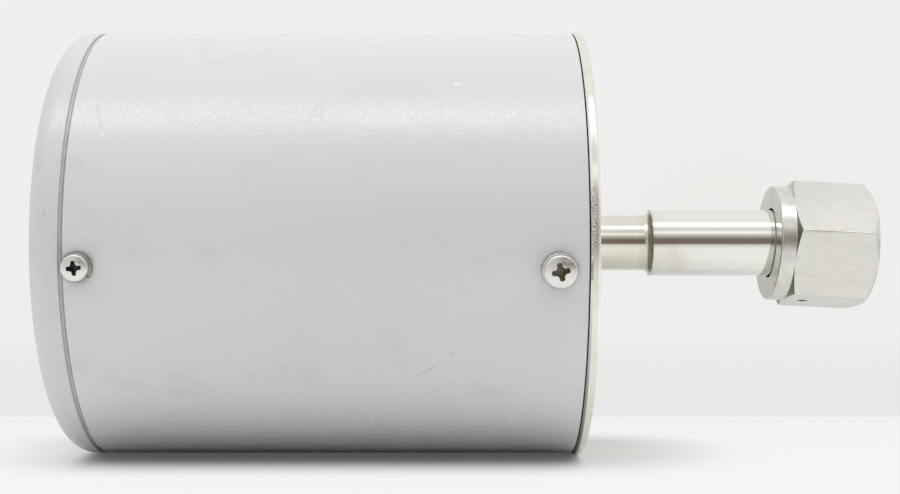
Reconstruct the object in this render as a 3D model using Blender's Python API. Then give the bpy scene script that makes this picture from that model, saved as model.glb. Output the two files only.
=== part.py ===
"""Remote capacitance pressure transducer with a half-inch face-seal port.

The origin is the centre of the port's sealing plane. +X runs out of the port
along the housing's axis, and +Z is up, as the transducer lies.
"""
import math

import bmesh
import bpy
from mathutils import Matrix, Vector

# Clearances between pieces that touch on the real product
CLEARANCE = 0.0003
SCREW_SEAT = 0.0002
HOLE_CLEARANCE = 0.0003
BLEND = 0.0001

# Points closer than MERGE are one, a cut leaves no edge shorter than SLIVER, and
# drills are turned a little so that their facets stay off the facets that they cut
MERGE = 0.0000001
SLIVER = 0.000005
DRILL_CLOCKING = math.radians(5.0)
SHARP_ANGLE = math.radians(30.0)

# Facets round each size of turned piece
HOUSING_STEPS = 48
PORT_STEPS = 30
NUT_STEPS = 42
INNER_STEPS = 24
SCREW_STEPS = 10
HOLE_STEPS = 12
SMALL_STEPS = 8
PIN_STEPS = 6
WAVE_STEPS = 28
LEAD_STEPS = 12
CORNER_FACETS = 4
FILLET_FACETS = 4
EDGE_FACETS = 2

# Housing: can, base plate and end cap
CAN_RADIUS = 0.0492
CAN_WALL = 0.0012
CAN_LENGTH = 0.1067
CAN_EDGE_ROUND = 0.0002
PORT_REACH = 0.0534
PLATE_THICKNESS = 0.0022
PLATE_OVERHANG = 0.0004
PLATE_CHAMFER = 0.0005
SPIGOT_LENGTH = 0.011
SPIGOT_WALL = 0.004
GROOVE_WIDTH = 0.00105
CAP_RIM = 0.0019
CAP_CORNER = 0.005
CAP_WALL = 0.003
CAP_SKIRT_LENGTH = 0.012

# Screws round the housing, measured from the side that faces -Y
SCREW_COUNT = 3
CAP_SCREW_ANGLE = math.radians(-6.0)
CAP_SCREW_INSET = 0.003
CAP_SCREW_CLOCKING = math.radians(4.0)
BASE_SCREW_ANGLE = math.radians(-6.7)
BASE_SCREW_INSET = 0.0059
BASE_SCREW_CLOCKING = math.radians(12.0)
CAP_SCREW_SHANK = 0.00142
CAP_SCREW_HEAD = 0.0027
CAP_SCREW_HEIGHT = 0.0019
CAP_WASHER_RADIUS = 0.0034
BASE_SCREW_SHANK = 0.00175
BASE_SCREW_HEAD = 0.0034
BASE_SCREW_HEIGHT = 0.0023
BASE_WASHER_RADIUS = 0.0037
WASHER_THICKNESS = 0.0006
WASHER_SPLIT = 0.0005
SCREW_THREAD_DEPTH = 0.0024
WASHER_SPLIT_ANGLE = math.radians(140.0)
WASHER_SPLIT_LEAN = math.radians(35.0)

# Pan head and its cross recess, as shares of the head's radius and height
HEAD_SIDE = 0.42
HEAD_FULLNESS = 0.6
HEAD_CROWN = (math.radians(40.0), math.radians(68.0))
SHANK_TIP = 0.7
RECESS_SPAN = 0.6
RECESS_WIDTH = 0.19
RECESS_DEPTH = 0.62
RECESS_FLOOR_SPAN = 0.35
RECESS_FLOOR_WIDTH = 0.7

# Port: tube, welded gland and loose nut
TUBE_RADIUS = 0.0065
TUBE_WALL = 0.00124
GLAND_SOCKET_WALL = 0.001
GLAND_LENGTH = 0.0365
GLAND_SOCKET_DEPTH = 0.0085
GLAND_FLANGE_STEP = 0.0017
GLAND_FLANGE_THICKNESS = 0.0033
GLAND_ROOT = 0.0005
WELD_LEG = 0.0014
BEAD_RADIUS = 0.0007
BEAD_INSET = 0.0007
NUT_WALL = 0.0023
NUT_LENGTH = 0.0221
NUT_COLLAR_INSET = 0.00005
NUT_COLLAR_LENGTH = 0.0032
NUT_BACK_CHAMFER = 0.0016
NUT_FRONT_CHAMFER = 0.00215
NUT_FRONT_INSET = 0.0005
NUT_BORE_CLEARANCE = 0.00045
NUT_SHOULDER_WALL = 0.0036
NUT_RELIEF_DEPTH = 0.00107
NUT_RELIEF_LENGTH = 0.0036
NUT_FLANGE_CLEARANCE = 0.00063
NUT_THREAD_CHAMFER = 0.0011
NUT_EDGE_ROUND = 0.0003
NUT_SHOULDER_CHAMFER = 0.0007
NUT_SHAKE = 0.0007
NUT_TILT = math.radians(3.0)
NUT_CLOCKING = math.radians(11.8)
LEAK_HOLE_RADIUS = 0.0011
HEX_SIDES = 6

# Sensor, built up from the port side
SENSOR_STANDOFF = 0.0131
SENSOR_AIR_GAP = 0.0068
SENSOR_WALL = 0.002
INLET_DEPTH = 0.010
BRACKET_THICKNESS = 0.002
BRACKET_POST_RADIUS = 0.004
BRACKET_POST_INSET = 0.011
BAFFLE_RADIUS = 0.012
BAFFLE_WALL = 0.0008
BAFFLE_DEPTH = 0.003
BAFFLE_SLOT = 0.004
DIAPHRAGM_THICKNESS = 0.0002
SPACER_WIDTH = 0.0045
SPACER_THICKNESS = 0.0015
ELECTRODE_THICKNESS = 0.0035
ELECTRODE_SETBACK = 0.0010
WAVE_SPRING_INSET = 0.0075
WAVE_SPRING_WIDTH = 0.003
WAVE_SPRING_STRIP = 0.0005
WAVE_SPRING_HEIGHT = 0.0032
WAVE_COUNT = 4
FEEDTHROUGH_CIRCLE = 0.012
FEEDTHROUGH_RADIUS = 0.0028
FEEDTHROUGH_FLANGE = 0.0012
FEEDTHROUGH_PIN = 0.0006
FEEDTHROUGH_PIN_LENGTH = 0.0045
FEEDTHROUGH_ANGLES = (math.radians(35.0), math.radians(215.0))
PINCH_TUBE_RADIUS = 0.0022
PINCH_TUBE_LENGTH = 0.0085
PINCH_WIDENING = 1.3
PINCH_FLATTENING = 0.25
GETTER_RADIUS = 0.004
GETTER_LENGTH = 0.0065
GETTER_CHAMFER = 0.001
GETTER_INSET = 0.012
GETTER_ANGLE = math.radians(150.0)

# Heated enclosure and its insulation
INSULATION_WALL = 0.0051
THERMAL_WALL = 0.0012
THERMAL_LENGTH = 0.0405
THERMAL_FLANGE_SETBACK = 0.0005
LID_THICKNESS = 0.0015
LID_RIM = 0.004
HEATER_THICKNESS = 0.001
HEATER_WIDTH = 0.03
HEATER_SETBACK = 0.004
HEATER_SPLIT = 0.006
HEATER_LEAD_ANGLE = math.radians(70.0)
HEATER_LEAD_RADIUS = 0.0008
LEAD_CHANNEL = 0.008
INSULATION_DISC_THICKNESS = 0.006
THERMOSTAT_RADIUS = 0.007
THERMOSTAT_HEIGHT = 0.0052
THERMOSTAT_CIRCLE = 0.016
THERMOSTAT_ANGLE = math.radians(-60.0)
THERMOSTAT_TAB_RADIUS = 0.001
THERMOSTAT_TAB_LENGTH = 0.003

# Circuit board on its standoffs
STANDOFF_COUNT = 3
STANDOFF_INSET = 0.006
STANDOFF_ACROSS_FLATS = 0.005
STANDOFF_LENGTH = 0.0165
STANDOFF_ANGLE = math.radians(0.0)
BOARD_EDGE_GAP = 0.0035
BOARD_THICKNESS = 0.0016
BOARD_SCREW_SHANK = 0.0012
BOARD_SCREW_HEAD = 0.0025
BOARD_SCREW_HEIGHT = 0.0017
BOARD_SCREW_GRIP = 0.006
ELECTRODE_LEAD_RADIUS = 0.0009
HEADER_LENGTH = 0.02
HEADER_WIDTH = 0.006
HEADER_HEIGHT = 0.007
HEADER_OFFSET = 0.018
CHIP_SIZES = (
    (-0.016, 0.006, 0.019, 0.0075, 0.0035),
    (-0.016, -0.010, 0.010, 0.0075, 0.0035),
    (0.012, -0.004, 0.014, 0.010, 0.008),
    (0.003, 0.030, 0.010, 0.010, 0.005),
)
COIL_PLACES = ((0.003, -0.031), (0.024, -0.021))
COIL_RADIUS = 0.005
COIL_HEIGHT = 0.009

# Fifteen-way inlet for the signal cable, on the end cap
INLET_FLANGE_LENGTH = 0.0392
INLET_FLANGE_HEIGHT = 0.0125
INLET_FLANGE_THICKNESS = 0.0008
INLET_FLANGE_ROUND = 0.0025
SHELL_TOP_WIDTH = 0.0249
SHELL_HEIGHT = 0.0083
SHELL_SLOPE = math.radians(10.0)
SHELL_ROUND = 0.0026
SHELL_SHEET = 0.0005
SHELL_REACH = 0.0058
SHELL_BODY_DEPTH = 0.0066
INSERT_SETBACK = 0.0048
PIN_ROWS = ((8, 0.00142), (7, -0.00142))
PIN_PITCH = 0.00277
PIN_RADIUS = 0.0005
PIN_REACH = 0.0042
PIN_TAIL = 0.003
JACK_SPACING = 0.0333
JACK_ACROSS_FLATS = 0.0048
JACK_HEIGHT = 0.005
JACK_BORE = 0.0012
JACK_SHANK = 0.0013
JACK_GRIP = 0.0065
HARNESS_RADIUS = 0.0022

# Places along the axis that follow from the sizes above
PLATE_OUTER = -PORT_REACH
PLATE_INNER = PLATE_OUTER - PLATE_THICKNESS
CAN_FRONT = PLATE_INNER - CLEARANCE
CAN_BACK = CAN_FRONT - CAN_LENGTH
CAP_FRONT = CAN_BACK - GROOVE_WIDTH
CAP_FACE = CAP_FRONT - CAP_RIM - CAP_CORNER
CAN_BORE = CAN_RADIUS - CAN_WALL
SPIGOT_RADIUS = CAN_BORE - CLEARANCE
SPIGOT_END = PLATE_INNER - SPIGOT_LENGTH
GLAND_BACK = -GLAND_LENGTH
TUBE_FRONT = GLAND_BACK + GLAND_SOCKET_DEPTH - CLEARANCE
GLAND_BORE = TUBE_RADIUS - TUBE_WALL
GLAND_SOCKET = TUBE_RADIUS + CLEARANCE
GLAND_NECK_RADIUS = GLAND_SOCKET + GLAND_SOCKET_WALL
GLAND_FLANGE_RADIUS = GLAND_NECK_RADIUS + GLAND_FLANGE_STEP
BEAD_CIRCLE = GLAND_NECK_RADIUS - BEAD_INSET
FLANGE_BACK = -GLAND_FLANGE_THICKNESS
NUT_BACK = FLANGE_BACK - NUT_SHAKE - NUT_SHOULDER_WALL
LEAK_HOLE_INSET = -NUT_BACK
NUT_BORE = GLAND_NECK_RADIUS + NUT_BORE_CLEARANCE
NUT_THREAD_RADIUS = GLAND_FLANGE_RADIUS + NUT_FLANGE_CLEARANCE
NUT_RELIEF_RADIUS = NUT_THREAD_RADIUS + NUT_RELIEF_DEPTH
NUT_HALF_FLATS = NUT_RELIEF_RADIUS + NUT_WALL
NUT_COLLAR_RADIUS = NUT_HALF_FLATS - NUT_COLLAR_INSET
NUT_FRONT_RIM = NUT_HALF_FLATS - NUT_FRONT_INSET
SLEEVE_BORE = SPIGOT_RADIUS - INSULATION_WALL
HEATER_RADIUS = SLEEVE_BORE - CLEARANCE - HEATER_THICKNESS
THERMAL_RADIUS = HEATER_RADIUS - CLEARANCE
THERMAL_BORE = THERMAL_RADIUS - THERMAL_WALL
SENSOR_RADIUS = THERMAL_BORE - SENSOR_AIR_GAP
STANDOFF_CIRCLE = THERMAL_RADIUS - STANDOFF_INSET
SENSOR_FRONT = PLATE_INNER - SENSOR_STANDOFF
INLET_FLOOR = SENSOR_FRONT - SENSOR_WALL
INLET_RIM = SENSOR_FRONT - INLET_DEPTH
DIAPHRAGM_FRONT = INLET_RIM - CLEARANCE
REFERENCE_RIM = DIAPHRAGM_FRONT - DIAPHRAGM_THICKNESS - CLEARANCE
REFERENCE_BORE = SENSOR_RADIUS - SENSOR_WALL
ELECTRODE_FRONT = REFERENCE_RIM - SPACER_THICKNESS - CLEARANCE
ELECTRODE_BACK = ELECTRODE_FRONT - ELECTRODE_THICKNESS
SPRING_FRONT = ELECTRODE_BACK - CLEARANCE
SPRING_BACK = SPRING_FRONT - WAVE_SPRING_HEIGHT
REFERENCE_FLOOR = SPRING_BACK - CLEARANCE
REFERENCE_BACK = REFERENCE_FLOOR - SENSOR_WALL
THERMAL_FRONT = SPIGOT_END - CLEARANCE
THERMAL_BACK = THERMAL_FRONT - THERMAL_LENGTH
LID_FRONT = THERMAL_BACK - CLEARANCE
LID_BACK = LID_FRONT - LID_THICKNESS
DISC_FRONT = LID_BACK - CLEARANCE
DISC_BACK = DISC_FRONT - INSULATION_DISC_THICKNESS
STANDOFF_BACK = LID_BACK - CLEARANCE - STANDOFF_LENGTH
BOARD_FRONT = STANDOFF_BACK - CLEARANCE
BOARD_BACK = BOARD_FRONT - BOARD_THICKNESS
HEATER_FRONT = THERMAL_FRONT - THERMAL_WALL - HEATER_SETBACK
HEATER_BACK = HEATER_FRONT - HEATER_WIDTH
LEAD_CIRCLE = THERMAL_RADIUS + CLEARANCE + HEATER_LEAD_RADIUS
INLET_SEAT = CAP_FACE - CLEARANCE


def clear_scene():
    """Remove whatever the open file holds."""
    for old in list(bpy.data.objects):
        bpy.data.objects.remove(old, do_unlink=True)


def finish(name, colour, roughness, metallic):
    """Make one Principled material."""
    material = bpy.data.materials.new(name)
    material.use_nodes = True
    shader = material.node_tree.nodes["Principled BSDF"]
    shader.inputs["Base Color"].default_value = (*colour, 1.0)
    shader.inputs["Roughness"].default_value = roughness
    shader.inputs["Metallic"].default_value = metallic
    return material


def add_object(name, mesh, material):
    """Link a mesh to the scene as one named piece, shaded round."""
    mesh.materials.clear()
    mesh.materials.append(material)
    mesh.shade_smooth()
    mesh.set_sharp_from_angle(angle=SHARP_ANGLE)
    piece = bpy.data.objects.new(name, mesh)
    bpy.context.collection.objects.link(piece)
    return piece


def to_mesh(name, shape):
    """Turn a bmesh into mesh data with its faces pointing out."""
    bmesh.ops.recalc_face_normals(shape, faces=shape.faces)
    mesh = bpy.data.meshes.new(name)
    shape.to_mesh(mesh)
    shape.free()
    return mesh


def turned(name, profile, steps):
    """Spin a profile of (axial, radial) points about the X axis, its flat ends as single faces."""
    shape = bmesh.new()
    verts = [shape.verts.new((x, radius, 0.0)) for x, radius in profile]
    edges = [shape.edges.new(pair) for pair in zip(verts, verts[1:])]
    meets_axis = profile[0][1] == 0.0 and profile[-1][1] == 0.0
    if not meets_axis:
        edges.append(shape.edges.new((verts[-1], verts[0])))
    bmesh.ops.spin(
        shape, geom=verts + edges, cent=(0, 0, 0), axis=(1, 0, 0),
        angle=2 * math.pi, steps=steps, use_merge=True)
    bmesh.ops.remove_doubles(shape, verts=shape.verts, dist=MERGE)
    middles = [vert for vert in shape.verts if vert.co.yz.length < MERGE]
    bmesh.ops.dissolve_verts(shape, verts=middles)
    return to_mesh(name, shape)


def prism(name, outline, low, high):
    """Extrude a closed (y, z) outline along X from low to high."""
    shape = bmesh.new()
    verts = [shape.verts.new((low, y, z)) for y, z in outline]
    face = shape.faces.new(verts)
    grown = bmesh.ops.extrude_face_region(shape, geom=[face])
    moved = [item for item in grown["geom"] if isinstance(item, bmesh.types.BMVert)]
    bmesh.ops.translate(shape, verts=moved, vec=(high - low, 0, 0))
    return to_mesh(name, shape)


def arc(centre, radius, start, stop, steps):
    """Give the points of an arc, angles in degrees, both ends included."""
    points = []
    for step in range(steps + 1):
        angle = math.radians(start + (stop - start) * step / steps)
        points.append((centre[0] + radius * math.cos(angle), centre[1] + radius * math.sin(angle)))
    return points


def circle(radius, steps, centre=(0.0, 0.0)):
    """Give the points of a whole circle."""
    return arc(centre, radius, 0.0, 360.0 - 360.0 / steps, steps - 1)


def hexagon(across_flats, centre=(0.0, 0.0)):
    """Give the corners of a hexagon."""
    return circle(across_flats / math.sqrt(3.0), HEX_SIDES, centre)


def rounded(corners, radius, steps=FILLET_FACETS):
    """Round the corners of a convex outline given anticlockwise."""
    points = []
    count = len(corners)
    for index, corner in enumerate(corners):
        here = Vector(corner)
        back = (Vector(corners[index - 1]) - here).normalized()
        ahead = (Vector(corners[(index + 1) % count]) - here).normalized()
        half = back.angle(ahead) / 2
        centre = here + (back + ahead).normalized() * radius / math.sin(half)
        first = here + back * radius / math.tan(half) - centre
        last = here + ahead * radius / math.tan(half) - centre
        turn = first.angle_signed(last)
        for step in range(steps + 1):
            spoke = first.copy()
            spoke.rotate(Matrix.Rotation(-turn * step / steps, 2))
            points.append(tuple(centre + spoke))
    return points


def rectangle(width, height, centre=(0.0, 0.0)):
    """Give a rectangle's corners, anticlockwise."""
    y, z = centre
    half_y, half_z = width / 2, height / 2
    return [(y - half_y, z - half_z), (y + half_y, z - half_z),
            (y + half_y, z + half_z), (y - half_y, z + half_z)]


def polar(radius, angle):
    """Give (y, z) at an angle from the side that faces -Y towards +Z."""
    return -radius * math.cos(angle), radius * math.sin(angle)


def evenly(count, start):
    """Give angles spaced evenly round the axis."""
    return [start + 2 * math.pi * index / count for index in range(count)]


def shifted(mesh, y, z):
    """Move a mesh across the axis."""
    mesh.transform(Matrix.Translation((0, y, z)))
    return mesh


def combined(mesh, others, operation):
    """Cut, join or intersect a mesh with others by exact Booleans."""
    body = bpy.data.objects.new("body", mesh)
    bpy.context.collection.objects.link(body)
    tools = []
    for other in others:
        tool = bpy.data.objects.new("tool", other)
        bpy.context.collection.objects.link(tool)
        modifier = body.modifiers.new("shape", "BOOLEAN")
        modifier.operation = operation
        modifier.object = tool
        tools.append(tool)
    graph = bpy.context.evaluated_depsgraph_get()
    result = bpy.data.meshes.new_from_object(body.evaluated_get(graph))
    for spent in [body, *tools]:
        bpy.data.objects.remove(spent, do_unlink=True)
    shape = bmesh.new()
    shape.from_mesh(result)
    bmesh.ops.remove_doubles(shape, verts=shape.verts, dist=SLIVER)
    bmesh.ops.dissolve_degenerate(shape, edges=shape.edges, dist=SLIVER)
    return to_mesh(mesh.name, shape)


def cut(mesh, *cutters):
    """Take cutters away from a mesh."""
    return combined(mesh, cutters, "DIFFERENCE")


def joined(mesh, *others):
    """Join overlapping meshes into one body."""
    return combined(mesh, others, "UNION")


def kept(mesh, *others):
    """Keep only what a mesh shares with others."""
    return combined(mesh, others, "INTERSECT")


def radial_frame(x, angle, radius, clocking=0.0):
    """Give the matrix that stands a +Z piece on the housing's side."""
    y, z = polar(radius, angle)
    lean = Matrix.Rotation(math.pi / 2 - angle, 4, "X")
    return Matrix.Translation((x, y, z)) @ lean @ Matrix.Rotation(clocking, 4, "Z")


def upright(mesh):
    """Turn a piece made along X so that it stands along Z."""
    mesh.transform(Matrix.Rotation(-math.pi / 2, 4, "Y"))
    return mesh


def screw_hole_cutters(x, start, radius, inner, outer):
    """Make the drills for a ring of radial screw holes."""
    drills = []
    for angle in evenly(SCREW_COUNT, start):
        drill = upright(prism("drill", circle(radius, HOLE_STEPS), inner, outer))
        drill.transform(radial_frame(x, angle, 0.0, DRILL_CLOCKING))
        drills.append(drill)
    return drills


def pan_screw_mesh(name, shank, head, height, grip):
    """Make a pan-head screw with a cross recess, its seat at Z = 0."""
    side = height * HEAD_SIDE
    tip = shank * SHANK_TIP
    crown = [(side + (height - side) * math.sin(angle), head * math.cos(angle) ** HEAD_FULLNESS)
             for angle in HEAD_CROWN]
    profile = [(-grip, 0.0), (-grip, tip), (-grip + shank - tip, shank), (0.0, shank),
               (0.0, head), (side, head), *crown, (height, crown[-1][1] * HEAD_FULLNESS), (height, 0.0)]
    body = upright(turned(name, profile, SCREW_STEPS))
    bars = []
    for quarter in (0.0, math.pi / 2):
        bars.append(recess_bar(head, height, quarter))
    return cut(body, *bars)


def recess_bar(head, height, turn):
    """Make one tapered bar of the cross recess."""
    half_span = head * RECESS_SPAN
    half_width = head * RECESS_WIDTH
    floor = height * (1.0 - RECESS_DEPTH)
    shape = bmesh.new()
    bmesh.ops.create_cube(shape, size=2.0)
    for vert in shape.verts:
        low = vert.co.z < 0.0
        vert.co.x *= half_span * (RECESS_FLOOR_SPAN if low else 1.0)
        vert.co.y *= half_width * (RECESS_FLOOR_WIDTH if low else 1.0)
        vert.co.z = floor if low else height + BLEND
    bmesh.ops.rotate(shape, verts=shape.verts, cent=(0, 0, 0), matrix=Matrix.Rotation(turn, 3, "Z"))
    return to_mesh("bar", shape)


def split_washer_mesh(name, bore, radius):
    """Make a split lock washer that lies on Z = 0."""
    profile = [(0.0, bore), (0.0, radius - BLEND), (BLEND, radius), (WASHER_THICKNESS - BLEND, radius),
               (WASHER_THICKNESS, radius - BLEND), (WASHER_THICKNESS, bore)]
    ring = upright(turned(name, profile, SCREW_STEPS))
    slot = prism("slot", rectangle(2 * radius, WASHER_SPLIT, (radius + bore * 0.5, 0.0)),
                 -WASHER_THICKNESS, 2 * WASHER_THICKNESS)
    slot = upright(slot)
    slot.transform(Matrix.Rotation(WASHER_SPLIT_LEAN, 4, "X"))
    slot.transform(Matrix.Rotation(WASHER_SPLIT_ANGLE, 4, "Z"))
    return cut(ring, slot)


def add_screw_ring(kind, x, start, clocking, shank, head, height, washer_radius, steel):
    """Place the screws and lock washers of one end of the housing."""
    seat = SCREW_SEAT + WASHER_THICKNESS + SCREW_SEAT
    grip = seat + CAN_WALL + CLEARANCE + SCREW_THREAD_DEPTH
    screw = pan_screw_mesh(kind + "_screw", shank, head, height, grip)
    washer = split_washer_mesh(kind + "_washer", shank + HOLE_CLEARANCE, washer_radius)
    for number, angle in enumerate(evenly(SCREW_COUNT, start), 1):
        placed = add_object(f"{kind}_screw_{number}", screw.copy(), steel["screw"])
        placed.matrix_world = radial_frame(x, angle, CAN_RADIUS + seat, clocking)
        placed = add_object(f"{kind}_washer_{number}", washer.copy(), steel["washer"])
        placed.matrix_world = radial_frame(x, angle, CAN_RADIUS + SCREW_SEAT)


def add_housing(finishes):
    """Make the can, the base plate and the end cap with their screw holes."""
    cap_screw_x = CAN_BACK + CAP_SCREW_INSET
    base_screw_x = CAN_FRONT - BASE_SCREW_INSET
    cap_drills = (cap_screw_x, CAP_SCREW_ANGLE, CAP_SCREW_SHANK + HOLE_CLEARANCE)
    base_drills = (base_screw_x, BASE_SCREW_ANGLE, BASE_SCREW_SHANK + HOLE_CLEARANCE)
    skirt_bore = SPIGOT_RADIUS - CAP_WALL
    through = (CAN_BORE - CAN_WALL, CAN_RADIUS + CAN_WALL)
    edge = CAN_EDGE_ROUND
    can = turned("cover_can", [
        (CAN_FRONT, CAN_BORE), (CAN_FRONT, CAN_RADIUS - edge), (CAN_FRONT - edge, CAN_RADIUS),
        (CAN_BACK + edge, CAN_RADIUS), (CAN_BACK, CAN_RADIUS - edge), (CAN_BACK, CAN_BORE)], HOUSING_STEPS)
    can = cut(can, *screw_hole_cutters(*cap_drills, *through), *screw_hole_cutters(*base_drills, *through))
    add_object("cover_can", can, finishes["paint"])

    plate_radius = CAN_RADIUS + PLATE_OVERHANG
    spigot_bore = SPIGOT_RADIUS - SPIGOT_WALL
    plate = turned("base_plate", [
        (PLATE_OUTER, TUBE_RADIUS + CLEARANCE), (PLATE_OUTER, plate_radius - PLATE_CHAMFER),
        (PLATE_OUTER - PLATE_CHAMFER, plate_radius), (PLATE_INNER + PLATE_CHAMFER, plate_radius),
        (PLATE_INNER, plate_radius - PLATE_CHAMFER), (PLATE_INNER, SPIGOT_RADIUS),
        (SPIGOT_END, SPIGOT_RADIUS), (SPIGOT_END, spigot_bore), (PLATE_INNER, spigot_bore),
        (PLATE_INNER, TUBE_RADIUS + CLEARANCE)], HOUSING_STEPS)
    tapped = (spigot_bore - CLEARANCE, CAN_RADIUS)
    add_object("base_plate", cut(plate, *screw_hole_cutters(*base_drills, *tapped)), finishes["plate"])

    corner = arc((CAP_FACE + CAP_CORNER, CAN_RADIUS - CAP_CORNER), CAP_CORNER, 90.0, 180.0, CORNER_FACETS)
    skirt_front = CAP_FRONT + CAP_SKIRT_LENGTH
    cap = turned("end_cap", [
        (CAP_FACE, 0.0), *reversed(corner), (CAP_FRONT, CAN_RADIUS), (CAP_FRONT, SPIGOT_RADIUS),
        (skirt_front, SPIGOT_RADIUS), (skirt_front, skirt_bore),
        (CAP_FACE + CAP_WALL + CAP_WALL, skirt_bore), (CAP_FACE + CAP_WALL, skirt_bore - CAP_WALL),
        (CAP_FACE + CAP_WALL, 0.0)], HOUSING_STEPS)
    window = prism("window", shell_outline(CLEARANCE), CAP_FACE - CAP_WALL, CAP_FACE + 2 * CAP_WALL)
    jack_holes = [prism("jack_hole", circle(JACK_SHANK + HOLE_CLEARANCE, HOLE_STEPS, (y, 0.0)),
                        CAP_FACE - CAP_WALL, CAP_FACE + 2 * CAP_WALL) for y in jack_places()]
    skirt_reach = (skirt_bore - CLEARANCE, CAN_RADIUS)
    cap = cut(cap, window, *jack_holes, *screw_hole_cutters(*cap_drills, *skirt_reach))
    add_object("end_cap", cap, finishes["cap"])

    add_screw_ring("cap", cap_screw_x, CAP_SCREW_ANGLE, CAP_SCREW_CLOCKING, CAP_SCREW_SHANK,
                   CAP_SCREW_HEAD, CAP_SCREW_HEIGHT, CAP_WASHER_RADIUS, finishes)
    add_screw_ring("base", base_screw_x, BASE_SCREW_ANGLE, BASE_SCREW_CLOCKING, BASE_SCREW_SHANK,
                   BASE_SCREW_HEAD, BASE_SCREW_HEIGHT, BASE_WASHER_RADIUS, finishes)


def add_port(finishes):
    """Make the port tube and the gland that is welded on its end."""
    tube = turned("port_tube", [
        (TUBE_FRONT, GLAND_BORE), (TUBE_FRONT, TUBE_RADIUS),
        (INLET_FLOOR, TUBE_RADIUS), (INLET_FLOOR, GLAND_BORE)], PORT_STEPS)
    add_object("port_tube", tube, finishes["tube"])

    fillet = arc((GLAND_BACK - WELD_LEG, GLAND_NECK_RADIUS), WELD_LEG, -90.0, 0.0, FILLET_FACETS)
    fillet = [(x, max(radius, GLAND_SOCKET + BLEND)) for x, radius in fillet[1:]]
    bead_face = arc((0.0, BEAD_CIRCLE), BEAD_RADIUS, 90.0, -90.0, FILLET_FACETS)
    gland = turned("weld_gland", [
        (GLAND_BACK + GLAND_SOCKET_DEPTH, GLAND_BORE), (GLAND_BACK + GLAND_SOCKET_DEPTH, GLAND_SOCKET),
        (GLAND_BACK - WELD_LEG, GLAND_SOCKET), *fillet,
        (FLANGE_BACK - GLAND_ROOT, GLAND_NECK_RADIUS), (FLANGE_BACK, GLAND_NECK_RADIUS + GLAND_ROOT),
        (FLANGE_BACK, GLAND_FLANGE_RADIUS - BLEND), (FLANGE_BACK + BLEND, GLAND_FLANGE_RADIUS),
        (-BLEND, GLAND_FLANGE_RADIUS), (0.0, GLAND_FLANGE_RADIUS - BLEND),
        *bead_face, (0.0, GLAND_BORE)], PORT_STEPS)
    add_object("weld_gland", gland, finishes["gland"])


def add_coupling_nut(finishes):
    """Make the loose hexagonal nut, which hangs tilted on the gland's neck."""
    across_flats = 2 * NUT_HALF_FLATS
    corner = across_flats / math.sqrt(3.0)
    slope = NUT_BACK_CHAMFER / (corner - NUT_COLLAR_RADIUS)
    outside = corner + CLEARANCE
    edge = (NUT_EDGE_ROUND, NUT_COLLAR_RADIUS - NUT_EDGE_ROUND)
    blank = turned("coupling_nut", [
        (0.0, 0.0), (0.0, NUT_COLLAR_RADIUS - NUT_EDGE_ROUND),
        *reversed(arc(edge, NUT_EDGE_ROUND, 90.0, 135.0, 1)),
        (NUT_COLLAR_LENGTH, NUT_COLLAR_RADIUS),
        (NUT_COLLAR_LENGTH + slope * (outside - NUT_COLLAR_RADIUS), outside),
        (NUT_LENGTH - NUT_FRONT_CHAMFER * (outside - NUT_FRONT_RIM) / (corner - NUT_FRONT_RIM), outside),
        (NUT_LENGTH, NUT_FRONT_RIM), (NUT_LENGTH, 0.0)], NUT_STEPS)
    turned_hex = prism("hex", rounded(hexagon(across_flats), NUT_EDGE_ROUND, EDGE_FACETS),
                       -CLEARANCE, NUT_LENGTH + CLEARANCE)
    collar = NUT_SHOULDER_WALL
    relief_end = collar + NUT_RELIEF_LENGTH
    cavity = turned("cavity", [
        (-CLEARANCE, 0.0), (-CLEARANCE, NUT_BORE + CLEARANCE), (0.0, NUT_BORE + CLEARANCE),
        (CLEARANCE, NUT_BORE), (collar - NUT_SHOULDER_CHAMFER, NUT_BORE),
        (collar, NUT_BORE + NUT_SHOULDER_CHAMFER), (collar, NUT_RELIEF_RADIUS),
        (relief_end, NUT_RELIEF_RADIUS), (relief_end + NUT_THREAD_CHAMFER, NUT_THREAD_RADIUS),
        (NUT_LENGTH - NUT_THREAD_CHAMFER, NUT_THREAD_RADIUS),
        (NUT_LENGTH, NUT_THREAD_RADIUS + NUT_THREAD_CHAMFER),
        (NUT_LENGTH + CLEARANCE, NUT_THREAD_RADIUS + NUT_THREAD_CHAMFER),
        (NUT_LENGTH + CLEARANCE, 0.0)], NUT_STEPS)
    drill = upright(prism("drill", circle(LEAK_HOLE_RADIUS, HOLE_STEPS), -corner, corner))
    drill.transform(Matrix.Rotation(DRILL_CLOCKING, 4, "Z"))
    drill.transform(Matrix.Translation((LEAK_HOLE_INSET, 0, 0)))
    nut = cut(kept(blank, turned_hex), cavity, drill)
    placed = add_object("coupling_nut", nut, finishes["nut"])
    pivot = bpy.data.objects.new("nut_axis", None)
    bpy.context.collection.objects.link(pivot)
    pivot.location = (NUT_BACK, 0, 0)
    pivot.rotation_euler = (0, NUT_TILT, 0)
    placed.parent = pivot
    placed.rotation_euler = (-NUT_CLOCKING, 0, 0)


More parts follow.
